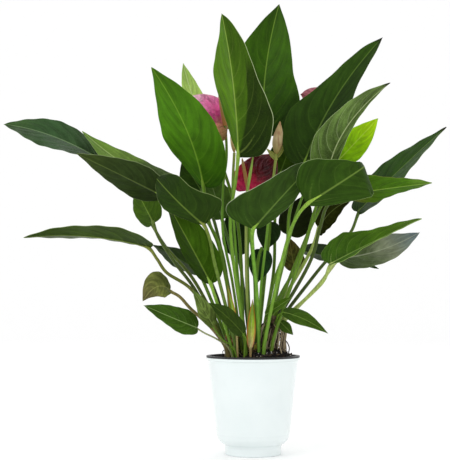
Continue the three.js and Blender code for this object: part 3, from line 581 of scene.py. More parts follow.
leaf("top_front", (-9, -15), [(-27, -33, 259), (-29, -42, 303), (-23, -50, 343)],
     [(-19, -58, 376), (-26, -86, 464), (-40, -105, 544)], (0.57, 0.82, 0.1), 92,
     (0x4a7210, 0.45, 0x578116, 0x456b10), 0xa9c45c, 0.16, fold=25, tint=(0.62, 1.12),
     dusk=(-1, 0.0, 0.5, 0.3), edge=0xc4d2a0, petiole=(0x64842a, 0x6f9c2c, 0x93b247),
     plus=outline((0.15, 0.04), (0.37, 0.13), (0.6, 0.26), (0.8, 0.4), (0.92, 0.53), (0.72, 0.68),
         (0.42, 0.81), (0.15, 0.94)),
     minus=outline((0.36, -0.01), (0.72, 0.02), (0.95, 0.12), (1.03, 0.24), (0.93, 0.35), (0.77, 0.46),
         (0.64, 0.57), (0.52, 0.7), (0.36, 0.83), (0.14, 0.95)))
leaf("top_back", (-3, 0), [(-7, 8, 245), (-5, 10, 294), (6, 12, 359)],
     [(15, 14, 413), (18, 26, 500), (37, 44, 594)], (-0.1, -1, 0.2), 97,
     (0x213c06, 0.4, 0x345a08, 0.7, 0x3a6209, 0x2b4a06), 0x86a840, 0.14, fold=12, tint=(0.82, 0.96),
     plus=outline((0.32, -0.02), (0.68, 0.02), (0.94, 0.12), (1.02, 0.25), (0.94, 0.36), (0.8, 0.47),
         (0.7, 0.6), (0.55, 0.74), (0.3, 0.88), (0.1, 0.96)))
leaf("upper_left", (-19, -11), [(-44, -22, 265), (-56, -26, 295)],
     [(-63, -28, 341), (-85, -54, 412), (-127, -75, 484)], (0.5, 0.85, 0.3), 82,
     (0x305808, 0.35, 0x44740d, 0.7, 0x4a7d12, 0x3f680d), 0x86b038, 0.14, fold=11, tint=(0.92, 1.1),
     plus=outline((0.3, 0.05), (0.6, 0.17), (0.88, 0.31), (1, 0.45), (0.92, 0.58), (0.72, 0.72),
         (0.4, 0.86), (0.12, 0.96)))
leaf("pale_left", (-12, 5), [(-19, 16, 294), (-37, 26, 366)],
     [(-62, 32, 430), (-80, 33, 470), (-92, 40, 513)], (0.3, -0.9, 0.3), 31, (0x9ac25a, 0xb0d468, 0x94b858),
     0xdcebb4, 0.2)
leaf("upper_right", (12, -8), [(43, -18, 266), (46, -22, 306), (54, -24, 336)],
     [(65, -25, 371), (108, -9, 459), (172, 15, 542)], (-0.34, -0.94, 0.2), 86,
     (0x243c08, 0x253f09, 0x2e4a10), 0x6d8c3a, 0.14, fold=16, lean=-0.05, pinch=0.4, tint=(1.25, 0.8),
     drip=0x15180c)
leaf("folded_right", (22, -16), [(66, -32, 268), (77, -42, 309), (86, -46, 332)],
     [(93, -50, 352), (117, -52, 413), (174, -36, 472)], (-0.25, -0.9, 0.4), 54,
     (0x4c6628, 0x5c7638, 0x60783c), 0xc8d6a0, 0.5, fold=44, lean=-0.26, pinch=0.15, tint=(1.1, 0.85),
     patches=0.3, edge=0xc4d4a0, drip=0x1d1d10)
# Bright yellow-lime: the young leaf's own colour, made brighter as painted light shining through it.
leaf("yellow_right", (15, 4), [(73, 10, 285), (96, 16, 333)], [(110, 20, 376), (170, 50, 440)], (0, -1, 0.3),
     40, (0x84c008, 0x9bd50a, 0xb4e112), 0xd0e860, 0.14)
leaf("front_right", (12, -22), [(40, -50, 264), (51, -70, 296)],
     [(65, -92, 314), (125, -118, 352), (123, -50, 356)], (-0.5, 0.8, -0.07), 88,
     (0x304e0e, 0x2e4a0d, 0x263e0b), 0x86a448, 0.12, fold=6, edge=0x9ab274,
     petiole=(0x5f842a, 0.6, 0x79a432, 0x9cbc48),
     plus=outline((0.35, -0.01), (0.75, 0.02), (1, 0.1), (0.92, 0.18), (0.72, 0.26), (0.44, 0.4),
         (0.25, 0.5), (0.16, 0.62), (0.1, 0.8)),
     minus=outline((0.15, 0.01), (0.36, 0.08), (0.6, 0.22), (0.76, 0.36), (0.83, 0.49), (0.8, 0.6),
         (0.66, 0.72), (0.42, 0.84), (0.15, 0.95)))
leaf("front_centre", (7, -18), [(4, -40, 205), (-1, -56, 256)],
     [(-1, -78, 284), (34, -102, 323), (73, -63, 365)], (-0.3, 0.9, 0.4), 90, (0x304c12, 0x324c16, 0x2d4414),
     0x7c9a48, 0.12, fold=6, edge=0xc4d0ac, petiole=(0x5c842a, 0.6, 0x66982a, 0x88ac3c),
     plus=outline((0.4, -0.04), (0.78, -0.04), (0.98, 0.06), (0.95, 0.2), (0.8, 0.33), (0.65, 0.45),
         (0.47, 0.66), (0.33, 0.83), (0.16, 0.95)),
     minus=outline((0.12, 0.04), (0.24, 0.13), (0.36, 0.34), (0.4, 0.53), (0.33, 0.7), (0.17, 0.87)))
leaf("front_left", (-20, -20), [(-50, -48, 247), (-55, -58, 272)],
     [(-62, -70, 289), (-93, -94, 316), (-120, -70, 346)], (0.3, 0.9, 0.35), 78,
     (0x2a420c, 0x263e0b, 0x203409), 0x7c983c, 0.12, fold=6, edge=0x9cb070,
     petiole=(0x54742a, 0.6, 0x647a2c, 0x86903f),
     plus=outline((0.12, 0.06), (0.28, 0.2), (0.46, 0.4), (0.56, 0.58), (0.5, 0.76), (0.28, 0.92)),
     minus=outline((0.2, 0.01), (0.5, 0.01), (0.82, 0.05), (1, 0.14), (0.88, 0.27), (0.68, 0.44),
         (0.62, 0.58), (0.62, 0.7), (0.45, 0.85), (0.2, 0.97)))
leaf("hanging_left", (-25, -16), [(-49, -32, 202)], [(-54, -34, 218), (-80, -52, 267), (-112, -66, 325)],
     (0.26, 0.9, 0.4), 62, (0x2e4a0b, 0x33500d, 0x2c440b), 0x8aa844, 0.14, fold=42, tint=(1.4, 0.8),
     gloss=0.01, petiole=(0x64902a, 0.6, 0x7fa838, 0x8cae44))
leaf("far_left_top", (-29, 4), [(-77, 4, 223), (-113, 8, 265), (-134, 26, 298), (-165, 30, 343)],
     [(-205, 22, 384), (-265, 4, 411), (-322, -8, 423)], (0, -0.7, 0.7), 60, (0x2c4420, 0x35522e, 0x365026),
     0x84a070, 0.14, fold=10, tint=(0.9, 1.1), rough=0.28, petiole=(0x4a5a20, 0.6, 0x5e7028, 0x789038),
     minus=WIDE_LATE)
leaf("far_left", (-27, -2), [(-71, -10, 237), (-96, -12, 288)],
     [(-117, -24, 330), (-165, -40, 353), (-222, -50, 380)], (0, 0.7, 0.7), 53,
     (0x27380f, 0x30411a, 0x3a4a1c), 0x6a7e3c, 0.16, fold=10, edge=0x90a070)
leaf("bright_left", (-26, 9), [(-40, 18, 259), (-65, 22, 308)],
     [(-87, 22, 338), (-152, 18, 364), (-223, 12, 417)], (0.1, -0.7, 0.7), 52,
     (0x42562a, 0.48, 0x4a6030, 0.68, 0x76983e, 0x5c7f2c), 0xb6cc80, 0.24, fold=10, rough=0.3,
     minus=WIDE_LATE)
leaf("inner_left", (-30, -10), [(-76, -8, 212), (-101, -8, 245), (-122, -6, 278)],
     [(-128, -4, 296), (-142, 2, 322), (-154, 6, 344)], (0.3, 0.8, 0.4), 44, (0x3c5a10, 0x476814, 0x3a5a10),
     0x8cab44, 0.2, fold=10, petiole=(0x3c4c1c, 0.6, 0x46581f, 0x7c9440))
leaf("level_left", (-30, -15), [(-78, -16, 209), (-111, -23, 232), (-122, -26, 248)],
     [(-132, -30, 263), (-206, -46, 276), (-286, -58, 274)], (0, 0.33, 0.95), 54,
     (0x2e440e, 0x384e14, 0x2a3f0c), 0x8ca04c, 0.2, fold=18, twist=20, edge=0x8a9c5c,
     petiole=(0x565e20, 0.6, 0x666e28, 0x808a38))
leaf("dark_left", (-24, 15), [(-53, 34, 217)], [(-63, 42, 232), (-133, 60, 270)], (0, -0.6, 0.8), 42,
     (0x273b10, 0x2c4212, 0x243810), 0x4d6828, 0.16, petiole=(0x2e3a16, 0x36461a))
# Near-black olive: painted shade on a leaf deep inside the plant.
leaf("olive_right", (26, 7, 176), [(71, 24, 250), (82, 36, 272)],
     [(88, 44, 293), (110, 62, 318), (136, 80, 332)], (-0.1, 0.7, 0.6), 66, (0x22260a, 0x262b0c, 0x22270b),
     0x5c6a34, 0.2, gloss=0, petiole=(0x90a44c, 0x9cb058, 0xa0b060))
leaf("lower_right", (34, -4, 168), [(74, -26, 205), (88, -40, 221)],
     [(95, -54, 241), (145, -62, 267), (207, -66, 297)], (-0.2, -0.5, 0.85), 66,
     (0x365a0c, 0.4, 0x42680e, 0.75, 0x4c7214, 0x567428), 0xa6c468, 0.24, fold=32, pinch=0.3, edge=0x9ab85c,
     petiole=(0x94a454, 0x9cb05c, 0xa8b868),
     minus=outline((0.36, -0.05), (0.74, -0.02), (1, 0.1), (1.04, 0.25), (0.94, 0.42), (0.74, 0.6),
         (0.44, 0.78), (0.14, 0.94)))
# The pale silvery grey towards the tip: partly the leaf's own grey-green, partly painted sheen.
leaf("silver_right", (37, 2, 166), [(86, 0, 217), (101, 0, 237)],
     [(112, 2, 250), (166, 10, 261), (220, 24, 285)], (0, -0.75, 0.65), 55,
     (0x3f5424, 0.3, 0x5c6c44, 0.6, 0x8c9478, 0x66767c), 0xb5bba0, 0.2, rough=0.24,
     petiole=(0x98a860, 0xa4b06c, 0xacb878))
leaf("dark_right", (29.5, 9.5, 171), [(62, 44, 240)], [(67, 60, 263), (118, 62, 252), (170, 56, 238)],
     (0, 0.4, 0.9), 44, (0x1e300b, 0x22370d, 0x1c2e0a), 0x506a28, 0.16, petiole=(0x37481a, 0x465820))
leaf("far_right_top", (36, 6, 172), [(69, 12, 214), (91, 18, 241), (118, 24, 271), (131, 26, 288)],
     [(140, 26, 313), (190, 20, 364), (253, 8, 422)], (-0.6, -0.42, 0.7), 77, (0x26440a, 0x2e540c, 0x284808),
     0x84a44c, 0.14, fold=10, drip=0x20220f, petiole=(0x3c4c1c, 0.6, 0x4a6022, 0x5e7830))
leaf("far_right", (30, -4, 169), [(75, -12, 250), (85, -20, 288), (95, -22, 317)],
     [(116, -22, 331), (172, -34, 338), (225, -40, 344)], (0.1, 0.6, 0.8), 50,
     (0x625a28, 0.16, 0x58641c, 0.34, 0x487210, 0.75, 0x48740e, 0x688a30), 0xa0c450, 0.16, fold=10,
     pinch=0.25, petiole=(0x3c4c1c, 0.6, 0x4c6022, 0x647a30))
leaf("old_right", (22, 8, 178), [(43, 28, 214)], [(56, 38, 236), (49, 38, 279)], (0.2, -0.9, 0.2), 31,
     (0x50481c, 0.4, 0x464a18, 0x4a3a1c), 0x7c7a3c, 0.24, rough=0.55, patches=0.4)
leaf("inner_centre", (3, 8), [(7, 24, 246), (12, 28, 264)], [(13, 32, 262), (6, 36, 218)], (0.1, -0.9, 0.2),
     32, (0x1f381c, 0x25441e, 0x1e3818), 0x4c7038, 0.14, edge=0x6f8c5c)
leaf("inner_back", (7, 13), [(19, 42, 246), (23, 46, 280)], [(24, 48, 300), (21, 49, 281), (17, 52, 262)],
     (0.1, -0.9, 0.2), 33, (0x1d3012, 0x233a14, 0x1c2e10), 0x4c6a30, 0.14)
leaf("old_left", (-29, -20.5), [(-52, -25, 160), (-80, -26, 186), (-94, -26, 201)],
     [(-106, -27, 209), (-122, -36, 213), (-139, -42, 195)], (0, -0.9, 0.4), 41,
     (0x5c6830, 0x737a3c, 0x62583a), 0x9a9c58, 0.2, rough=0.5, patches=0.26, edge=0x6e5a48,
     petiole=(0x6a5c34, 0x76703c))
leaf("low_left", (-24, -26), [(-47, -38, 148), (-61, -42, 155)],
     [(-71, -48, 162), (-102, -58, 175), (-136, -66, 190)], (0.1, -0.75, 0.6), 38,
     (0x385614, 0x3e6016, 0x345214), 0x9cb870, 0.24, radius=1.1, edge=0x7c9468, petiole=(0x82865a, 0x929a68))
leaf("mottled_left", (-19, -30), [(-39, -42, 147), (-47, -45, 157)],
     [(-51, -47, 165), (-63, -53, 186), (-76, -58, 209)], (0.5, -0.8, 0.3), 24,
     (0x5c7030, 0x6c823c, 0x50682a), 0x94a860, 0.2, radius=1, rough=0.5, patches=0.34)
leaf("low_centre", (-12, -31), [(-10, -38, 148)], [(-14, -42, 155), (-34, -50, 176), (-56, -56, 193)],
     (0.4, -0.8, 0.4), 27, (0x2b400c, 0x33490f, 0x293e0c), 0x647c30, 0.18, radius=1.1)
leaf("low_right", (27, -4, 164), [(29, -19, 170), (32, -30, 178)],
     [(38, -34, 181), (64, -42, 172), (92, -50, 155)], (0.1, -0.9, 0.3), 20, (0x304a0c, 0x3c5a10, 0x385412),
     0x86a44c, 0.22, radius=1.1, edge=0x7c9850)
leaf("inner_low_right", (19, -4, 160), [(15, -12, 170)], [(16, -17, 178), (48, -36, 200)], (-0.3, -0.8, 0.6),
     17, (0x42640f, 0x486c10, 0x3c5c0e), 0xa0bc60, 0.24, radius=1)
leaf("small_low_right", (33, 0, 160), [(32, -9, 167)], [(35, -11, 168), (51, -12, 152)], (0.1, -0.95, 0.2),
     14, (0x344f10, 0x3d5a14), 0x8aa450, 0.2, radius=0.9)
leaf("edge_left", (-16, 16), [(-49, 44, 296), (-60, 50, 325)], [(-68, 52, 343), (-94, 56, 384)],
     (-0.3, -0.8, 0.5), 40, (0x223a08, 0x28420a, 0x223808), 0x5c7c30, 0.16, edge=0x8ca468,
     petiole=(0x3c5218, 0x4a6420))
leaf("grey_back", (-9, 17), [(-27, 44, 256)], [(-40, 60, 306), (-60, 72, 372)], (0.2, -0.9, 0.3), 46,
     (0x3c5a1c, 0x4c6c28, 0x466428), 0x8aa068, 0.18, rough=0.3, petiole=(0x3c5a18, 0x4a6c20))
leaf("behind_bud", (10, 26), [(29, 52, 235), (31, 58, 300), (33, 61, 345)], [(38, 64, 366), (64, 70, 434)],
     (-0.1, -0.9, 0.3), 46, (0x3c5a12, 0x2c460c, 0x243c0a), 0x6c8c38, 0.2, fold=10)
leaf("behind_right", (20, 27), [(38, 60, 230), (46, 68, 262)], [(52, 71, 284), (76, 78, 340)],
     (-0.1, -0.9, 0.3), 46, (0x24300c, 0x20290a, 0x1e270a), 0x4c5c24, 0.16, fold=10,
     petiole=(0x446818, 0x50781c))
leaf("behind_left", (-3, 26), [(-12, 56, 218), (-15, 70, 240)], [(-19, 80, 258), (-27, 86, 326)],
     (0.1, -0.9, 0.2), 38, (0x1e340c, 0x1c300c, 0x1a2c0a), 0x44602c, 0.16, fold=10,
     petiole=(0x2c4412, 0x345016))

LEAF_OPTIONS = ("tint", "rough", "veins", "patches", "edge", "drip", "dusk", "gloss")
# Least width, lines and strips of a blade
BLADE_SIZES = ((60, 112, 15), (30, 84, 11), (0, 56, 8))
# An underside is paler and greyer than the top, a top is darker
UNDERSIDE, TOP, TURNED_SHARE = 0x93a47c, 0x1f3a10, 0.35

for order, (name, leaf) in enumerate(LEAVES.items()):
    top_seen = leaf["faces"][1] < 0
    turned = blended(leaf["shades"], UNDERSIDE if top_seen else TOP, TURNED_SHARE)
    options = {key: leaf[key] for key in LEAF_OPTIONS if key in leaf}
    seen = leaf_look(f"{name}_seen", leaf["shades"], leaf["rib"], **options)
    hidden = leaf_look(f"{name}_other", turned, leaf["rib"], **options)
    skin = stem_look(f"{name}_petiole", leaf["petiole"])
    body = Body()
    lines, strips = next(sizes for least, *sizes in BLADE_SIZES if leaf["width"] >= least)
    add_blade(body, leaf, lines=lines, strips=strips, seed=order)
    add_petiole(body, leaf)
    materials = [seen, hidden, skin] if top_seen else [hidden, seen, skin]
    body.build(f"{name}_fine", materials, [name])

# Young sheaths: pale, folded, reddish towards one edge
SHEATHS = [
    ("sheath_front", (-4, -27), [(-4, -28, 137), (-1, -32, 198)], 14, 38, 1.6),
    ("sheath_left", (-20, -26), [(-22, -27, 160), (-33, -30, 216)], 9, 35, 1.3),
]
sheath_skin = leaf_look("sheath_skin", (0xcabc80, 0.25, 0xb0b450, 0x88a830, 0x64902a), 0xd9d7a4, (1.05, 0.8),
                        0.5, 0.12, edge=0xb8452a, drip=0x9a5a34, depth=1, rim=0.5)
sheath_foot = stem_look("sheath_foot", (0x8d6f4a, 0xb0a468, 0xbdb97c))
for order, (name, foot, line, width, fold, radius) in enumerate(SHEATHS):
    sheath = dict(foot=foot, line=line, faces=(0, 1, 0.1), width=width, fold=fold, radius=radius, wave=0)
    body = Body()
    add_blade(body, sheath, lines=48, strips=7, quilt=0.05, seed=60 + order)
    add_petiole(body, sheath)
    body.build(f"{name}_fine", [sheath_skin, sheath_skin, sheath_foot], [name])

# The rolled young leaf: a stem that swells into a rolled blade with its overlapping edge
ROLLED = [(-8, -19, 200), (-9, -20, 292), (-7, -22, 337), (-4, -23, 356), (0, -24, 380)]
ROLL_STARTS = 0.7


def winding(angle):
    """From 0 to 1 once round a rolled piece."""
    return np.mod(angle, TURN) / TURN


def rolled_radius(t, _joint):
    roll = np.maximum(0, (t - ROLL_STARTS) / (1 - ROLL_STARTS))
    return STALK_RADIUS + np.where(t < ROLL_STARTS, 0, 2.2 * np.sin(roll * math.pi) * (1.1 - t) - 1.08 * roll)


def rolled_profile(angle, t):
    return 1 + ease(ROLL_STARTS, ROLL_STARTS + 0.06, t) * (0.22 * winding(angle - 5 * t) - 0.06)


body = Body()
add_stem(body, [*rooted(-3, -14, ROLLED[0]), *ROLLED], rolled_radius, 28, 16, profile=rolled_profile)
rolled_skin = stem_look("rolled_skin", (0x6d7a38, 0.55, 0x86964a, 0.72, 0x8fae4a, 0.9, 0x9dbb55, 0x86a040))
body.build("leaf_rolled_fine", [rolled_skin], ["leaf_rolled"])

# Blooms. line, faces, width: the spathe. spadix: its tip. radius: the spadix's.
BLOOMS = {
    "bloom_left": dict(
        foot=(-14, -4), stalk=[(-27, -2, 222), (-35, -1, 261), (-39, 0, 288), (-38, 1, 348), (-34, 3, 381)],
        line=[(-33, -3, 418), (-56, -8, 439), (-86, -14, 456)], faces=(-0.1, -0.9, 0.35), width=56,
        spadix=(-44, -18, 464), radius=2.8,
        # The pale pink at the tip end is a painted highlight.
        shades=(0x94703f, 0.14, 0xd08a70, 0.36, 0xc83c80, 0.6, 0xd8689e, 0.82, 0xf0b8cc, 0xf8dce4),
    ),
    "bloom_centre": dict(
        foot=(3, -1), stalk=[(2, 1, 222), (-5, 1, 300)],
        line=[(-9, 5, 338), (8, -2, 361), (30, 4, 386)], faces=(0, -1, 0.3), width=56,
        spadix=(-14, -9, 379), radius=2.5,
        # Crimson at the base, then dark maroon: the spathe's own dark red, deepened by painted shade.
        shades=(0xd42860, 0.28, 0xb80c3c, 0.48, 0x560812, 0.75, 0x400610, 0x6c0418),
    ),
    "bloom_right": dict(
        foot=(12, 9), stalk=[(28.5, 19.5, 222), (44, 27, 262), (58, 36, 308), (80, 46, 369)],
        line=[(106, 47, 443), (90, 46, 462), (65, 42, 471)], faces=(0, -1, 0.2), width=46,
        spadix=(95, 32, 477), radius=2.4, shades=(0xc98a92, 0xc0707f, 0xa85c66),
    ),
}
SPATHE_FOLD = -8
FLORETS_ROUND, FLORETS_ALONG = 9, 78
STALK_SHADES = (0x6c7c2c, 0.4, 0x5e8c24, 0.8, 0x6c9430, 0x9ca452)


def floret_profile(angle, t):
    """Small bumps in two crossing spirals."""
    a = FLORETS_ROUND * angle
    return 1 + 0.09 * np.cos(a + FLORETS_ALONG * t) * np.cos(a - FLORETS_ALONG * t)


def spathe_look(name, shades):
    """A waxy spathe: shades from base to tip, puckered between its veins, paler along the rim."""
    look = Look(name, 0.22, (0.12, 0.2))
    color, _ = look.drifting(shades, 70, 0.5)
    second = stops(shades)[1][1]
    vein = blend(second, 0xf3dfe0, 0.3)
    groove = look.span(look.math("PINGPONG", look.value("phase"), 0.5), 0, 0.16, 1, 0)
    color = look.mix(look.times(groove, 0.1), color, vein)
    color = look.mix(look.span(look.value("basal"), 0.4, 1.6, 0.2, 0), color, vein)
    outward = look.math("ABSOLUTE", look.value("share"))
    color = look.mix(look.span(outward, 0.93, 1, 0, 0.3), color, vein)
    color = look.dim(color, look.span(look.noise(85, 4, 0.6, warp=0.8), 0.42, 0.68, 1.12, 0.62))
    fleck = look.noise(420, 3, 0.6)
    color = look.mix(look.span(fleck, 0.6, 0.75, 0, 0.25), color, blend(second, 0x5a1420, 0.5))
    pucker = look.plus(look.span(look.noise(160, 2, 0.5), 0.2, 0.8), look.times(groove, -0.8))
    return look.done(color, look.vary(fleck, 0.2, 0.32), pucker, 0.0006, 0.55)


def spadix_look(name, base, tip):
    """A spadix: rows of tiny florets that change colour towards the tip."""
    look = Look(name, 0.35)
    color = look.ramp(look.value("along"), (base, 0.55, blend(base, tip, 0.4), tip))
    dots = look.cells(1300)
    # Darker lines between the florets: painted shade in the gaps.
    color = look.mix(look.span(dots, 0, 0.18, 0.55, 0), color, blend(base, 0x5a2c12, 0.6))
    return look.done(color, look.span(dots, 0, 0.3, 0.75, 0.5), look.span(dots, 0, 0.3), 0.0003, 0.8)


for order, (name, bloom) in enumerate(BLOOMS.items()):
    bloom["fold"] = SPATHE_FOLD
    out = unit(np.array(bloom["faces"]))
    pierced = blade_points(bloom, Rib(bloom), 0, 0.07, 0)
    behind = pierced - 7 * out
    behind[2] = pierced[2] - 6
    top = pierced + 2 * out
    body = Body()
    add_stalk(body, bloom, behind, top)
    skin = stem_look(f"{name}_stalk_skin", STALK_SHADES)
    body.build(f"{name}_stalk_fine", [skin], [f"{name}_stalk"])

    body = Body()
    add_blade(body, bloom, SPATHE, lines=72, strips=12, quilt=0.55, seed=80 + order)
    skin = spathe_look(f"{name}_skin", bloom["shades"])
    dull = spathe_look(f"{name}_back_skin", blended(bloom["shades"], 0xa8a070, 0.35))
    body.build(f"{name}_spathe_fine", [skin, dull], [f"{name}_spathe"])

    body = Body()
    t = shares(61)
    line = top + t[:, None] * (np.array(bloom["spadix"]) - top)
    blunt = np.sqrt(np.maximum(0.02, 1 - t**4)) * (0.85 + 0.3 * t - 0.25 * t * t)
    add_tube(body, line, bloom["radius"] * blunt, 36, profile=floret_profile)
    florets = spadix_look(f"{name}_florets", 0xc98a4a, 0xd8c07a)
    body.build(f"{name}_spadix_fine", [florets], [f"{name}_spadix"], sharp=80)


# Buds. skin: base, middle, tip and seam. bracts: two small leaves under the bud.
def bract(line, sideways):
    return dict(line=line, faces=(sideways, -0.9, 0.4), width=8, wave=0)


BUDS = {
    "bud_beige": dict(
        foot=(8, -5), stalk=[(10, -8, 209), (17, -10, 273), (23, -10, 325), (30, -12, 384)],
        tip=(35, -12, 426), radius=7.2, skin=(0xa8964f, 0xc9b78a, 0xb29a62, 0x8a4a30),
        bracts=[bract([(31, -12, 376), (17, -15, 391)], 0.3), bract([(31, -12, 380), (43, -15, 400)], -0.3)],
    ),
    "bud_cream": dict(
        foot=(-8, -8), stalk=[(-19, -6, 222), (-24, -6, 286), (-26, -6, 344), (-24, -8, 386)],
        tip=(-28, -8, 419), radius=3.4, skin=(0xb8944a, 0xdcc894, 0xd89a4a, 0xa85c28), bracts=[],
    ),
}


def bud_profile(angle, t):
    """A rolled spathe: its free edge winds once round the bud."""
    closed = ease(0.03, 0.15, t) * (1 - ease(0.85, 1, t))
    return 1 + closed * (0.16 * winding(angle + 2.2 * t) - 0.1) + 0.02 * np.cos(5 * angle)


def bud_look(name, base, middle, tip, seam):
    look = Look(name, 0.3)
    color = look.ramp(look.value("along"), (base, 0.45, middle, tip))
    streaks, patches = look.noise(360, 4, 0.6, (1, 1, 0.12)), look.noise(90, 3, 0.6)
    color = look.mix(look.span(streaks, 0.45, 0.72, 0, 0.6), color, seam)
    color = look.mix(look.span(patches, 0.5, 0.7, 0, 0.45), color, blend(seam, middle, 0.4))
    return look.done(color, look.vary(patches, 0.5, 0.65), streaks, 0.0004, 0.6)


bract_skin = leaf_look("bract_skin", (0x9aa04e, 0xa8ac58), 0xc6c98a, rough=0.5, veins=0.15)
for name, bud in BUDS.items():
    body = Body()
    add_stalk(body, bud)
    for order, small in enumerate(bud["bracts"]):
        add_blade(body, small, lines=24, strips=4, slots=(1, 1), quilt=0.05, seed=90 + order)
    stalk_skin = stem_look(f"{name}_stalk_skin", STALK_SHADES)
    body.build(f"{name}_stalk_fine", [stalk_skin, bract_skin], [f"{name}_stalk"])
    body = Body()
    t = shares(61)
    start = np.array(bud["stalk"][-1], float)
    swell = bud["radius"] * (0.12 + 0.88 * np.sin(math.pi * np.minimum(1, t * 1.02) ** 0.75))
    add_tube(body, start + t[:, None] * (np.array(bud["tip"]) - start), swell, 40, profile=bud_profile)
    body.build(f"{name}_fine", [bud_look(f"{name[4:]}_skin", *bud["skin"])], [name])


# Pots


def rounded(points, radius, steps=5):
    """The corners of a profile, each rounded by about radius."""
    p = np.asarray(points, float)
    out = [p[0]]
    for before, corner, after in zip(p, p[1:], p[2:]):
        reach = [min(radius, 0.45 * np.linalg.norm(q - corner)) for q in (before, after)]
        start = corner + unit(before - corner) * reach[0]
        stop = corner + unit(after - corner) * reach[1]
        for w in np.arange(steps + 1) / steps:
            out.append(start * (1 - w) ** 2 + corner * 2 * w * (1 - w) + stop * w**2)
    return np.array([*out, p[-1]])


POT_SEGMENTS = 192
LIP_BOTTOM = POT_HEIGHT - LIP_HEIGHT
SHOULDER_RADIUS, SHOULDER_TOP = 47, 27
shoulder = smooth_curve(
    [(36, 9.5), (36.8, 12), (41, 15), (44.8, 19.6), (SHOULDER_RADIUS, SHOULDER_TOP)], shares(25)
)
rise = np.linspace(0.1, 1, 12)
wall = np.stack([
    SHOULDER_RADIUS + (RIM_RADIUS - 1.7 - SHOULDER_RADIUS) * rise,
    SHOULDER_TOP + (LIP_BOTTOM - 0.5 - SHOULDER_TOP) * rise,
], axis=1)
pot = Body()
add_lathe(pot, rounded([
    (0, 0), (FOOT_RADIUS - 0.8, 0), (FOOT_RADIUS, 0.8), *shoulder, *wall, (RIM_RADIUS, LIP_BOTTOM),
    (RIM_RADIUS, POT_HEIGHT), (RIM_RADIUS - LIP_WIDTH, POT_HEIGHT),
    (45.2, 26), (41, 18), (34, 13.6), (33.8, 3), (0, 3),
], 0.5), POT_SEGMENTS)
look = Look("pot_glaze", 0.5, (0.35, 0.08))
mottle, specks = look.noise(24, 4, 0.5), look.noise(700, 2, 0.5)
color = look.ramp(mottle, (0.3, 0xe2ebeb, 0.7, 0xe7efef))
color = look.mix(look.span(specks, 0.68, 0.78, 0, 0.12), color, 0xc9d2d2)
ripples = look.plus(look.noise(60, 2, 0.5), look.times(specks, 0.08))
glaze = look.done(color, look.vary(mottle, 0.16, 0.24), ripples, 0.0002, 0.2)
pot.build("outer_pot_fine", [glaze], ["outer_pot"], sharp=60)

LINER_TOP = POT_HEIGHT + FIT + LINER_RIM
LINER_OUTER = RIM_RADIUS - LIP_WIDTH - FIT - 0.4
liner = Body()
add_lathe(liner, rounded([
    (0, 17), (37.8, 17), (LINER_OUTER, POT_HEIGHT - 1), (LINER_OUTER, POT_HEIGHT + FIT),
    (RIM_RADIUS, POT_HEIGHT + FIT), (RIM_RADIUS, LINER_TOP), (LINER_OUTER - WALL, LINER_TOP),
    (LINER_OUTER - WALL, POT_HEIGHT - 1), (36.6, LINER_FLOOR), (0, LINER_FLOOR),
], 0.45), POT_SEGMENTS)
look = Look("black_plastic", 0.4)
scuffs = look.noise(240, 4, 0.6, (1, 1, 0.2))
color = look.ramp(scuffs, (0.35, 0x141416, 0.75, 0x2b2b2e))
plastic = look.done(color, look.vary(scuffs, 0.35, 0.55), scuffs, 0.0002, 0.4)
liner.build("nursery_pot_fine", [plastic], ["nursery_pot"])

# Potting mix: a lumpy surface with crumbs, bark, fibres and a few white grains
MIX_BOTTOM, MIX_BOTTOM_RADIUS = LINER_FLOOR + FIT, 35.9
MIX_RINGS, MIX_SECTORS = 110, 180
mix = Body()
ring = np.linspace(0.01, 1, MIX_RINGS)[:, None]
turn = ring_angles(MIX_SECTORS)[None]
x, y = SOIL_RADIUS * ring * np.cos(turn), SOIL_RADIUS * ring * np.sin(turn)
flat = np.stack([x, y, 0 * x], axis=2)
lumps = 0.9 * ripple(flat, 0.55, 3) + 0.6 * ripple(flat, 1.4, 4) + draw.normal(0, 0.22, x.shape)
z = soil_height(x, y) + lumps * (1 - ease(0.93, 1, ring))
low = MIX_BOTTOM_RADIUS * np.stack([np.cos(turn), np.sin(turn), 0 * turn], axis=2) + [0, 0, MIX_BOTTOM]
surface = np.vstack([np.stack([x, y, z], axis=2), low])
add_rings(mix, surface, [(0, 0, soil_height(0, 0)), (0, 0, MIX_BOTTOM)], flip=True, tone=0.2)

OCTA = np.array([(1, 0, 0), (-1, 0, 0), (0, 1, 0), (0, -1, 0), (0, 0, 1), (0, 0, -1)], float)
OCTA_FACES = [(0, 2, 4), (2, 1, 4), (1, 3, 4), (3, 0, 4), (2, 0, 5), (1, 2, 5), (3, 1, 5), (0, 3, 5)]


def pebble():
    """A sphere of 32 faces, as points and faces."""
    points, faces, middles = [tuple(p) for p in OCTA], [], {}

    def middle(a, b):
        key = (min(a, b), max(a, b))
        if key not in middles:
            middles[key] = len(points)
            points.append(tuple(unit(np.array(points[a]) + np.array(points[b]))))
        return middles[key]

    for a, b, c in OCTA_FACES:
        ab, bc, ca = middle(a, b), middle(b, c), middle(c, a)
        faces += [(a, ab, ca), (ab, b, bc), (ca, bc, c), (ab, bc, ca)]
    return np.array(points), faces


PEBBLE, PEBBLE_FACES = pebble()
CLEAR_RADIUS = SOIL_RADIUS - 2.5


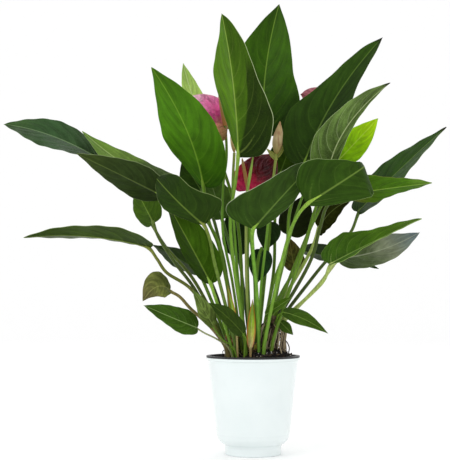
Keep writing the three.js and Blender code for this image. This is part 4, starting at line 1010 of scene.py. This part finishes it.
def scatter(count, sizes, stretch, tones, slot=0, middle=(0, 0), reach=CLEAR_RADIUS):
    """Grains of random size and turn, half sunk in the surface of the mix."""
    for _ in range(count):
        radius, bearing = reach * math.sqrt(draw.uniform()), draw.uniform(0, TURN)
        px, py = middle[0] + radius * math.cos(bearing), middle[1] + radius * math.sin(bearing)
        if math.hypot(px, py) > CLEAR_RADIUS:
            continue
        size = draw.uniform(*sizes)
        turns = np.linalg.qr(draw.normal(size=(3, 3)))[0]
        turns = turns * np.sign(np.linalg.det(turns))
        shape = PEBBLE * (1 + draw.normal(0, 0.16, (len(PEBBLE), 1))) * np.array(stretch) * size
        place = np.array([px, py, float(soil_height(px, py)) + 0.25 * size])
        mix.add(shape @ turns.T + place, PEBBLE_FACES, slot, tone=draw.uniform(*tones))


scatter(1500, (0.7, 1.9), (1, 0.8, 0.7), (0.0, 0.55))
scatter(160, (1.4, 2.6), (1.7, 0.8, 0.45), (0.45, 1.0))
scatter(34, (0.5, 1.0), (1, 1, 0.9), (1, 1), slot=1, middle=(22, -14), reach=28)
FIBRES, FIBRE_RADIUS = 46, 0.22
for _ in range(FIBRES):
    px, py = draw.uniform(-34, 40), draw.uniform(-38, 30)
    heading, bend = draw.uniform(0, TURN), draw.uniform(-0.9, 0.9)
    steps = np.linspace(0, draw.uniform(8, 18), 9)
    fx = px + steps * np.cos(heading + bend * steps / 10)
    fy = py + steps * np.sin(heading + bend * steps / 10)
    if (np.hypot(fx, fy) < SOIL_RADIUS - 3).all():
        lift = 1.2 * np.sin(np.linspace(0, math.pi, 9)) + 0.3
        add_tube(mix, np.stack([fx, fy, soil_height(fx, fy) + lift], axis=1), FIBRE_RADIUS, 5, 2)

look = Look("peat", 0.25)
grain, damp = look.noise(900, 5, 0.7), look.noise(55, 3, 0.6)
color = look.dim(look.ramp(look.value("tone"), (0x080706, 0x191410, 0x44301f)), look.vary(grain, 0.5, 1.5))
color = look.mix(look.span(damp, 0.45, 0.7, 0, 0.35), color, 0x241e1a)
mix_skins = [look.done(color, look.vary(damp, 0.95, 0.7), grain, 0.0009, 0.9)]
for name, scale, dark, light, rough, distance, strength in (
    ("white_grain", 1500, 0xb8b4aa, 0xe2dfd6, 0.8, 0.0003, 0.8),
    ("fibre", 1200, 0x6b5238, 0xa08a68, 0.7, 0.0002, 0.6),
):
    look = Look(name, 0.3)
    grain = look.noise(scale, 3, 0.6)
    mix_skins.append(look.done(look.ramp(grain, (0.3, dark, 0.7, light)), rough, grain, distance, strength))
mix.build("potting_mix_fine", mix_skins, ["potting_mix"], sharp=35)

# Crowns with their leaf scars, papery scraps and aerial roots. roots: bearing, height and reach of the
# thick ones. fine, spread: how many thin ones, and how far they reach. shades: dark, middle and pale.
CROWNS = {
    "crown_main": dict(
        path=[(-1, -2, 112), (-1, -2, 128), (-2, -1, 142)], radius=9, roots=[], fine=16, spread=5,
        shades=(0x3a2a1c, 0x7a6448, 0xa68a66), paper=(0x5a4a1e, 0x98903c, 0xc0b058),
    ),
    "crown_left": dict(
        path=[(-24, -5, 112), (-25, -5, 130), (-28, -5, 148)], radius=7.5,
        roots=[(-70, 138, 13), (75, 134, 13)], fine=22, spread=6,
        shades=(0x4a3026, 0x8a6a56, 0xa88a70), paper=(0x6a3424, 0xb46c50, 0xd8a488),
    ),
    "crown_right": dict(
        path=[(20, 2, 112), (24, 2, 140), (29, 2, 176)], radius=9.5,
        roots=[(-100, 146, 13), (-58, 158, 14), (-20, 152, 15), (12, 163, 16), (60, 152, 15), (115, 158, 14)],
        fine=64, spread=13, shades=(0x1a1410, 0x4a3a2c, 0x94805f), paper=(0x2a1d14, 0x5c4632, 0x94805c),
    ),
}
ROOT_RADIUS = 1.1


def crown_look(name, dark, middle, pale):
    look = Look(name, 0.25)
    patches, grain = look.noise(140, 5, 0.65, (1, 1, 0.5)), look.noise(900, 4, 0.7)
    color = look.dim(look.ramp(patches, (0.3, dark, 0.52, middle, 0.72, pale)), look.vary(grain, 0.6, 1.35))
    both = look.plus(patches, look.times(grain, 0.5))
    return look.done(color, look.vary(grain, 0.9, 0.65), both, 0.0012, 0.9)


def root_line(path, bearing, height, reach, count=40):
    """A root's line: out of the crown's side and down into the mix."""
    out = np.array([math.cos(math.radians(bearing)), math.sin(math.radians(bearing))])
    bottom, middle, top = (np.array(place, float) for place in path)
    t = (height - middle[2]) / (top[2] - middle[2])
    axis = np.array([middle[0] + t * (top[0] - middle[0]), middle[1]])
    stations = [
        (*(axis + 4 * out), height + 2),
        (*(axis + reach * 0.85 * out), height - 5),
        (*(middle[:2] + reach * out), height * 0.4 + 73),
        (*(bottom[:2] + (2, 0) + (reach + 1) * out), SOIL_LEVEL - 7),
    ]
    return smooth_curve(stations, shares(count))


for order, (name, crown) in enumerate(CROWNS.items()):
    body = Body()
    path, thick = crown["path"], crown["radius"]
    t = shares(90)
    radii = thick * (0.92 + 0.1 * np.sin(t * 22)) * (1 - 0.3 * ease(0.9, 1, t))
    scars = 5.0 + order

    def knobbly(angle, share):
        around = np.cos(3 * angle + scars * share * 9) + 0.6 * np.cos(7 * angle - 31 * share)
        return 1 + 0.035 * around - 0.07 * np.abs(np.sin(angle + 14 * share)) ** 8

    add_tube(body, smooth_curve(path, t), radii, 64, profile=knobbly)
    for root in crown["roots"]:
        line = root_line(path, *root)
        t = shares(len(line))
        add_tube(body, line, ROOT_RADIUS * (1 + 0.16 * np.sin(17 * t + root[0])), 12, 1)
    middle, top = path[1:]
    for _ in range(crown["fine"]):
        bearing = draw.uniform(-180, 180)
        height = middle[2] + draw.uniform(-0.1, 0.95) * (top[2] - middle[2])
        reach = thick + draw.uniform(0, 1) ** 1.5 * crown["spread"]
        line = root_line(path, bearing, height, reach, 20)
        bend = math.pi * shares(20)[:, None]
        sway = draw.normal(0, 1.5, 3) * np.sin(bend) + draw.normal(0, 0.9, 3) * np.sin(3 * bend)
        add_tube(body, line + sway, draw.uniform(0.35, 1.0), 7, draw.choice([1, 1, 3]))
    scraps = 6 + 2 * order
    for k in range(scraps):
        bearing = TURN * k / scraps + draw.uniform(-0.3, 0.3)
        place = smooth_curve(path, [draw.uniform(0.5, 0.95)])[0]
        out = np.array([math.cos(bearing), math.sin(bearing), 0])
        foot = place + out * thick * 0.86
        tip = foot + out * draw.uniform(1.5, 4) + np.array([0, 0, draw.uniform(8, 16)])
        scrap = dict(line=[foot, tip], faces=out, width=draw.uniform(5, 9), fold=-16, wave=0.9)
        add_blade(body, scrap, lines=20, strips=4, slots=(2, 2), quilt=0.1, seed=120 + k)
    torn, papery, faded = crown["paper"]
    skins = [
        crown_look(f"{name}_skin", *crown["shades"]),
        stem_look(f"{name}_roots", (0xa09274, 0xb0a284, 0x5a4630), rough=0.7, flecks=0.4),
        leaf_look(f"{name}_paper", (torn, 0.6, papery, faded), faded, (1, 1), 0.7, 0.25, 0.35, depth=1),
        stem_look(f"{name}_old_roots", (0x3d2c20, 0x2b2019, 0x1d1612), rough=0.75, flecks=0.5),
    ]
    body.build(f"{name}_fine", skins, [name])

# Floor: a pale sheet that curves up far behind the plant, in metres
FLOOR_REACH, SWEEP_START, SWEEP_RADIUS, SWEEP_TOP = 6.0, 3.6, 2.0, 5.0
across = (-FLOOR_REACH, 0, FLOOR_REACH)
bend = np.linspace(0, math.pi / 2, 24)
sweep = zip(SWEEP_START + SWEEP_RADIUS * np.sin(bend), SWEEP_RADIUS * (1 - np.cos(bend)))
side_view = [(-FLOOR_REACH, 0), *sweep, (SWEEP_START + SWEEP_RADIUS, SWEEP_TOP)]
mesh = bpy.data.meshes.new("floor")
points = [(px, py, pz) for py, pz in side_view for px in across]
mesh.from_pydata(points, [], grid_faces(len(side_view), len(across)))
look = Look("floor_paper", 0.1)
mesh.materials.append(look.done(look.ramp(look.noise(300, 4, 0.6), (0.3, 0xfbfbfb, 0.7, 0xffffff)), 0.9))
mesh.shade_smooth()
floor = new_object("floor", mesh)

# Light: an even white room, a large soft lamp above and left, weaker ones at the right and behind
world = bpy.context.scene.world or bpy.data.worlds.new("room")
bpy.context.scene.world = world
world.use_nodes = True
room = next(n for n in world.node_tree.nodes if n.type == "BACKGROUND")
room.inputs["Color"].default_value = (1, 1, 1, 1)
room.inputs["Strength"].default_value = 1.0
LIT_POINT = Vector((0, 0, 0.28))
for name, place, size, power in (
    ("key", (-1.3, -1.5, 2.1), 1.3, 13),
    ("fill", (1.7, -1.3, 1.0), 1.4, 1.5),
    ("back", (0.3, 1.0, 1.9), 1.2, 6),
):
    lamp = bpy.data.lights.new(name, "AREA")
    lamp.shape, lamp.size, lamp.energy = "SQUARE", size, power
    holder = new_object(name, lamp)
    holder.location = place
    holder.rotation_euler = (LIT_POINT - Vector(place)).to_track_quat("-Z", "Y").to_euler()

bpy.context.scene.view_settings.view_transform = "Standard"

camera_data = bpy.data.cameras.new("camera")
camera_data.sensor_fit = "VERTICAL"
camera_data.sensor_height = SENSOR
camera_data.lens = LENS_IN_HEIGHTS * SENSOR
camera = new_object("camera", camera_data)
camera.location = CAMERA_PLACE
camera.rotation_euler = (math.pi / 2 + CAMERA_PITCH, 0, 0)
bpy.context.scene.camera = camera
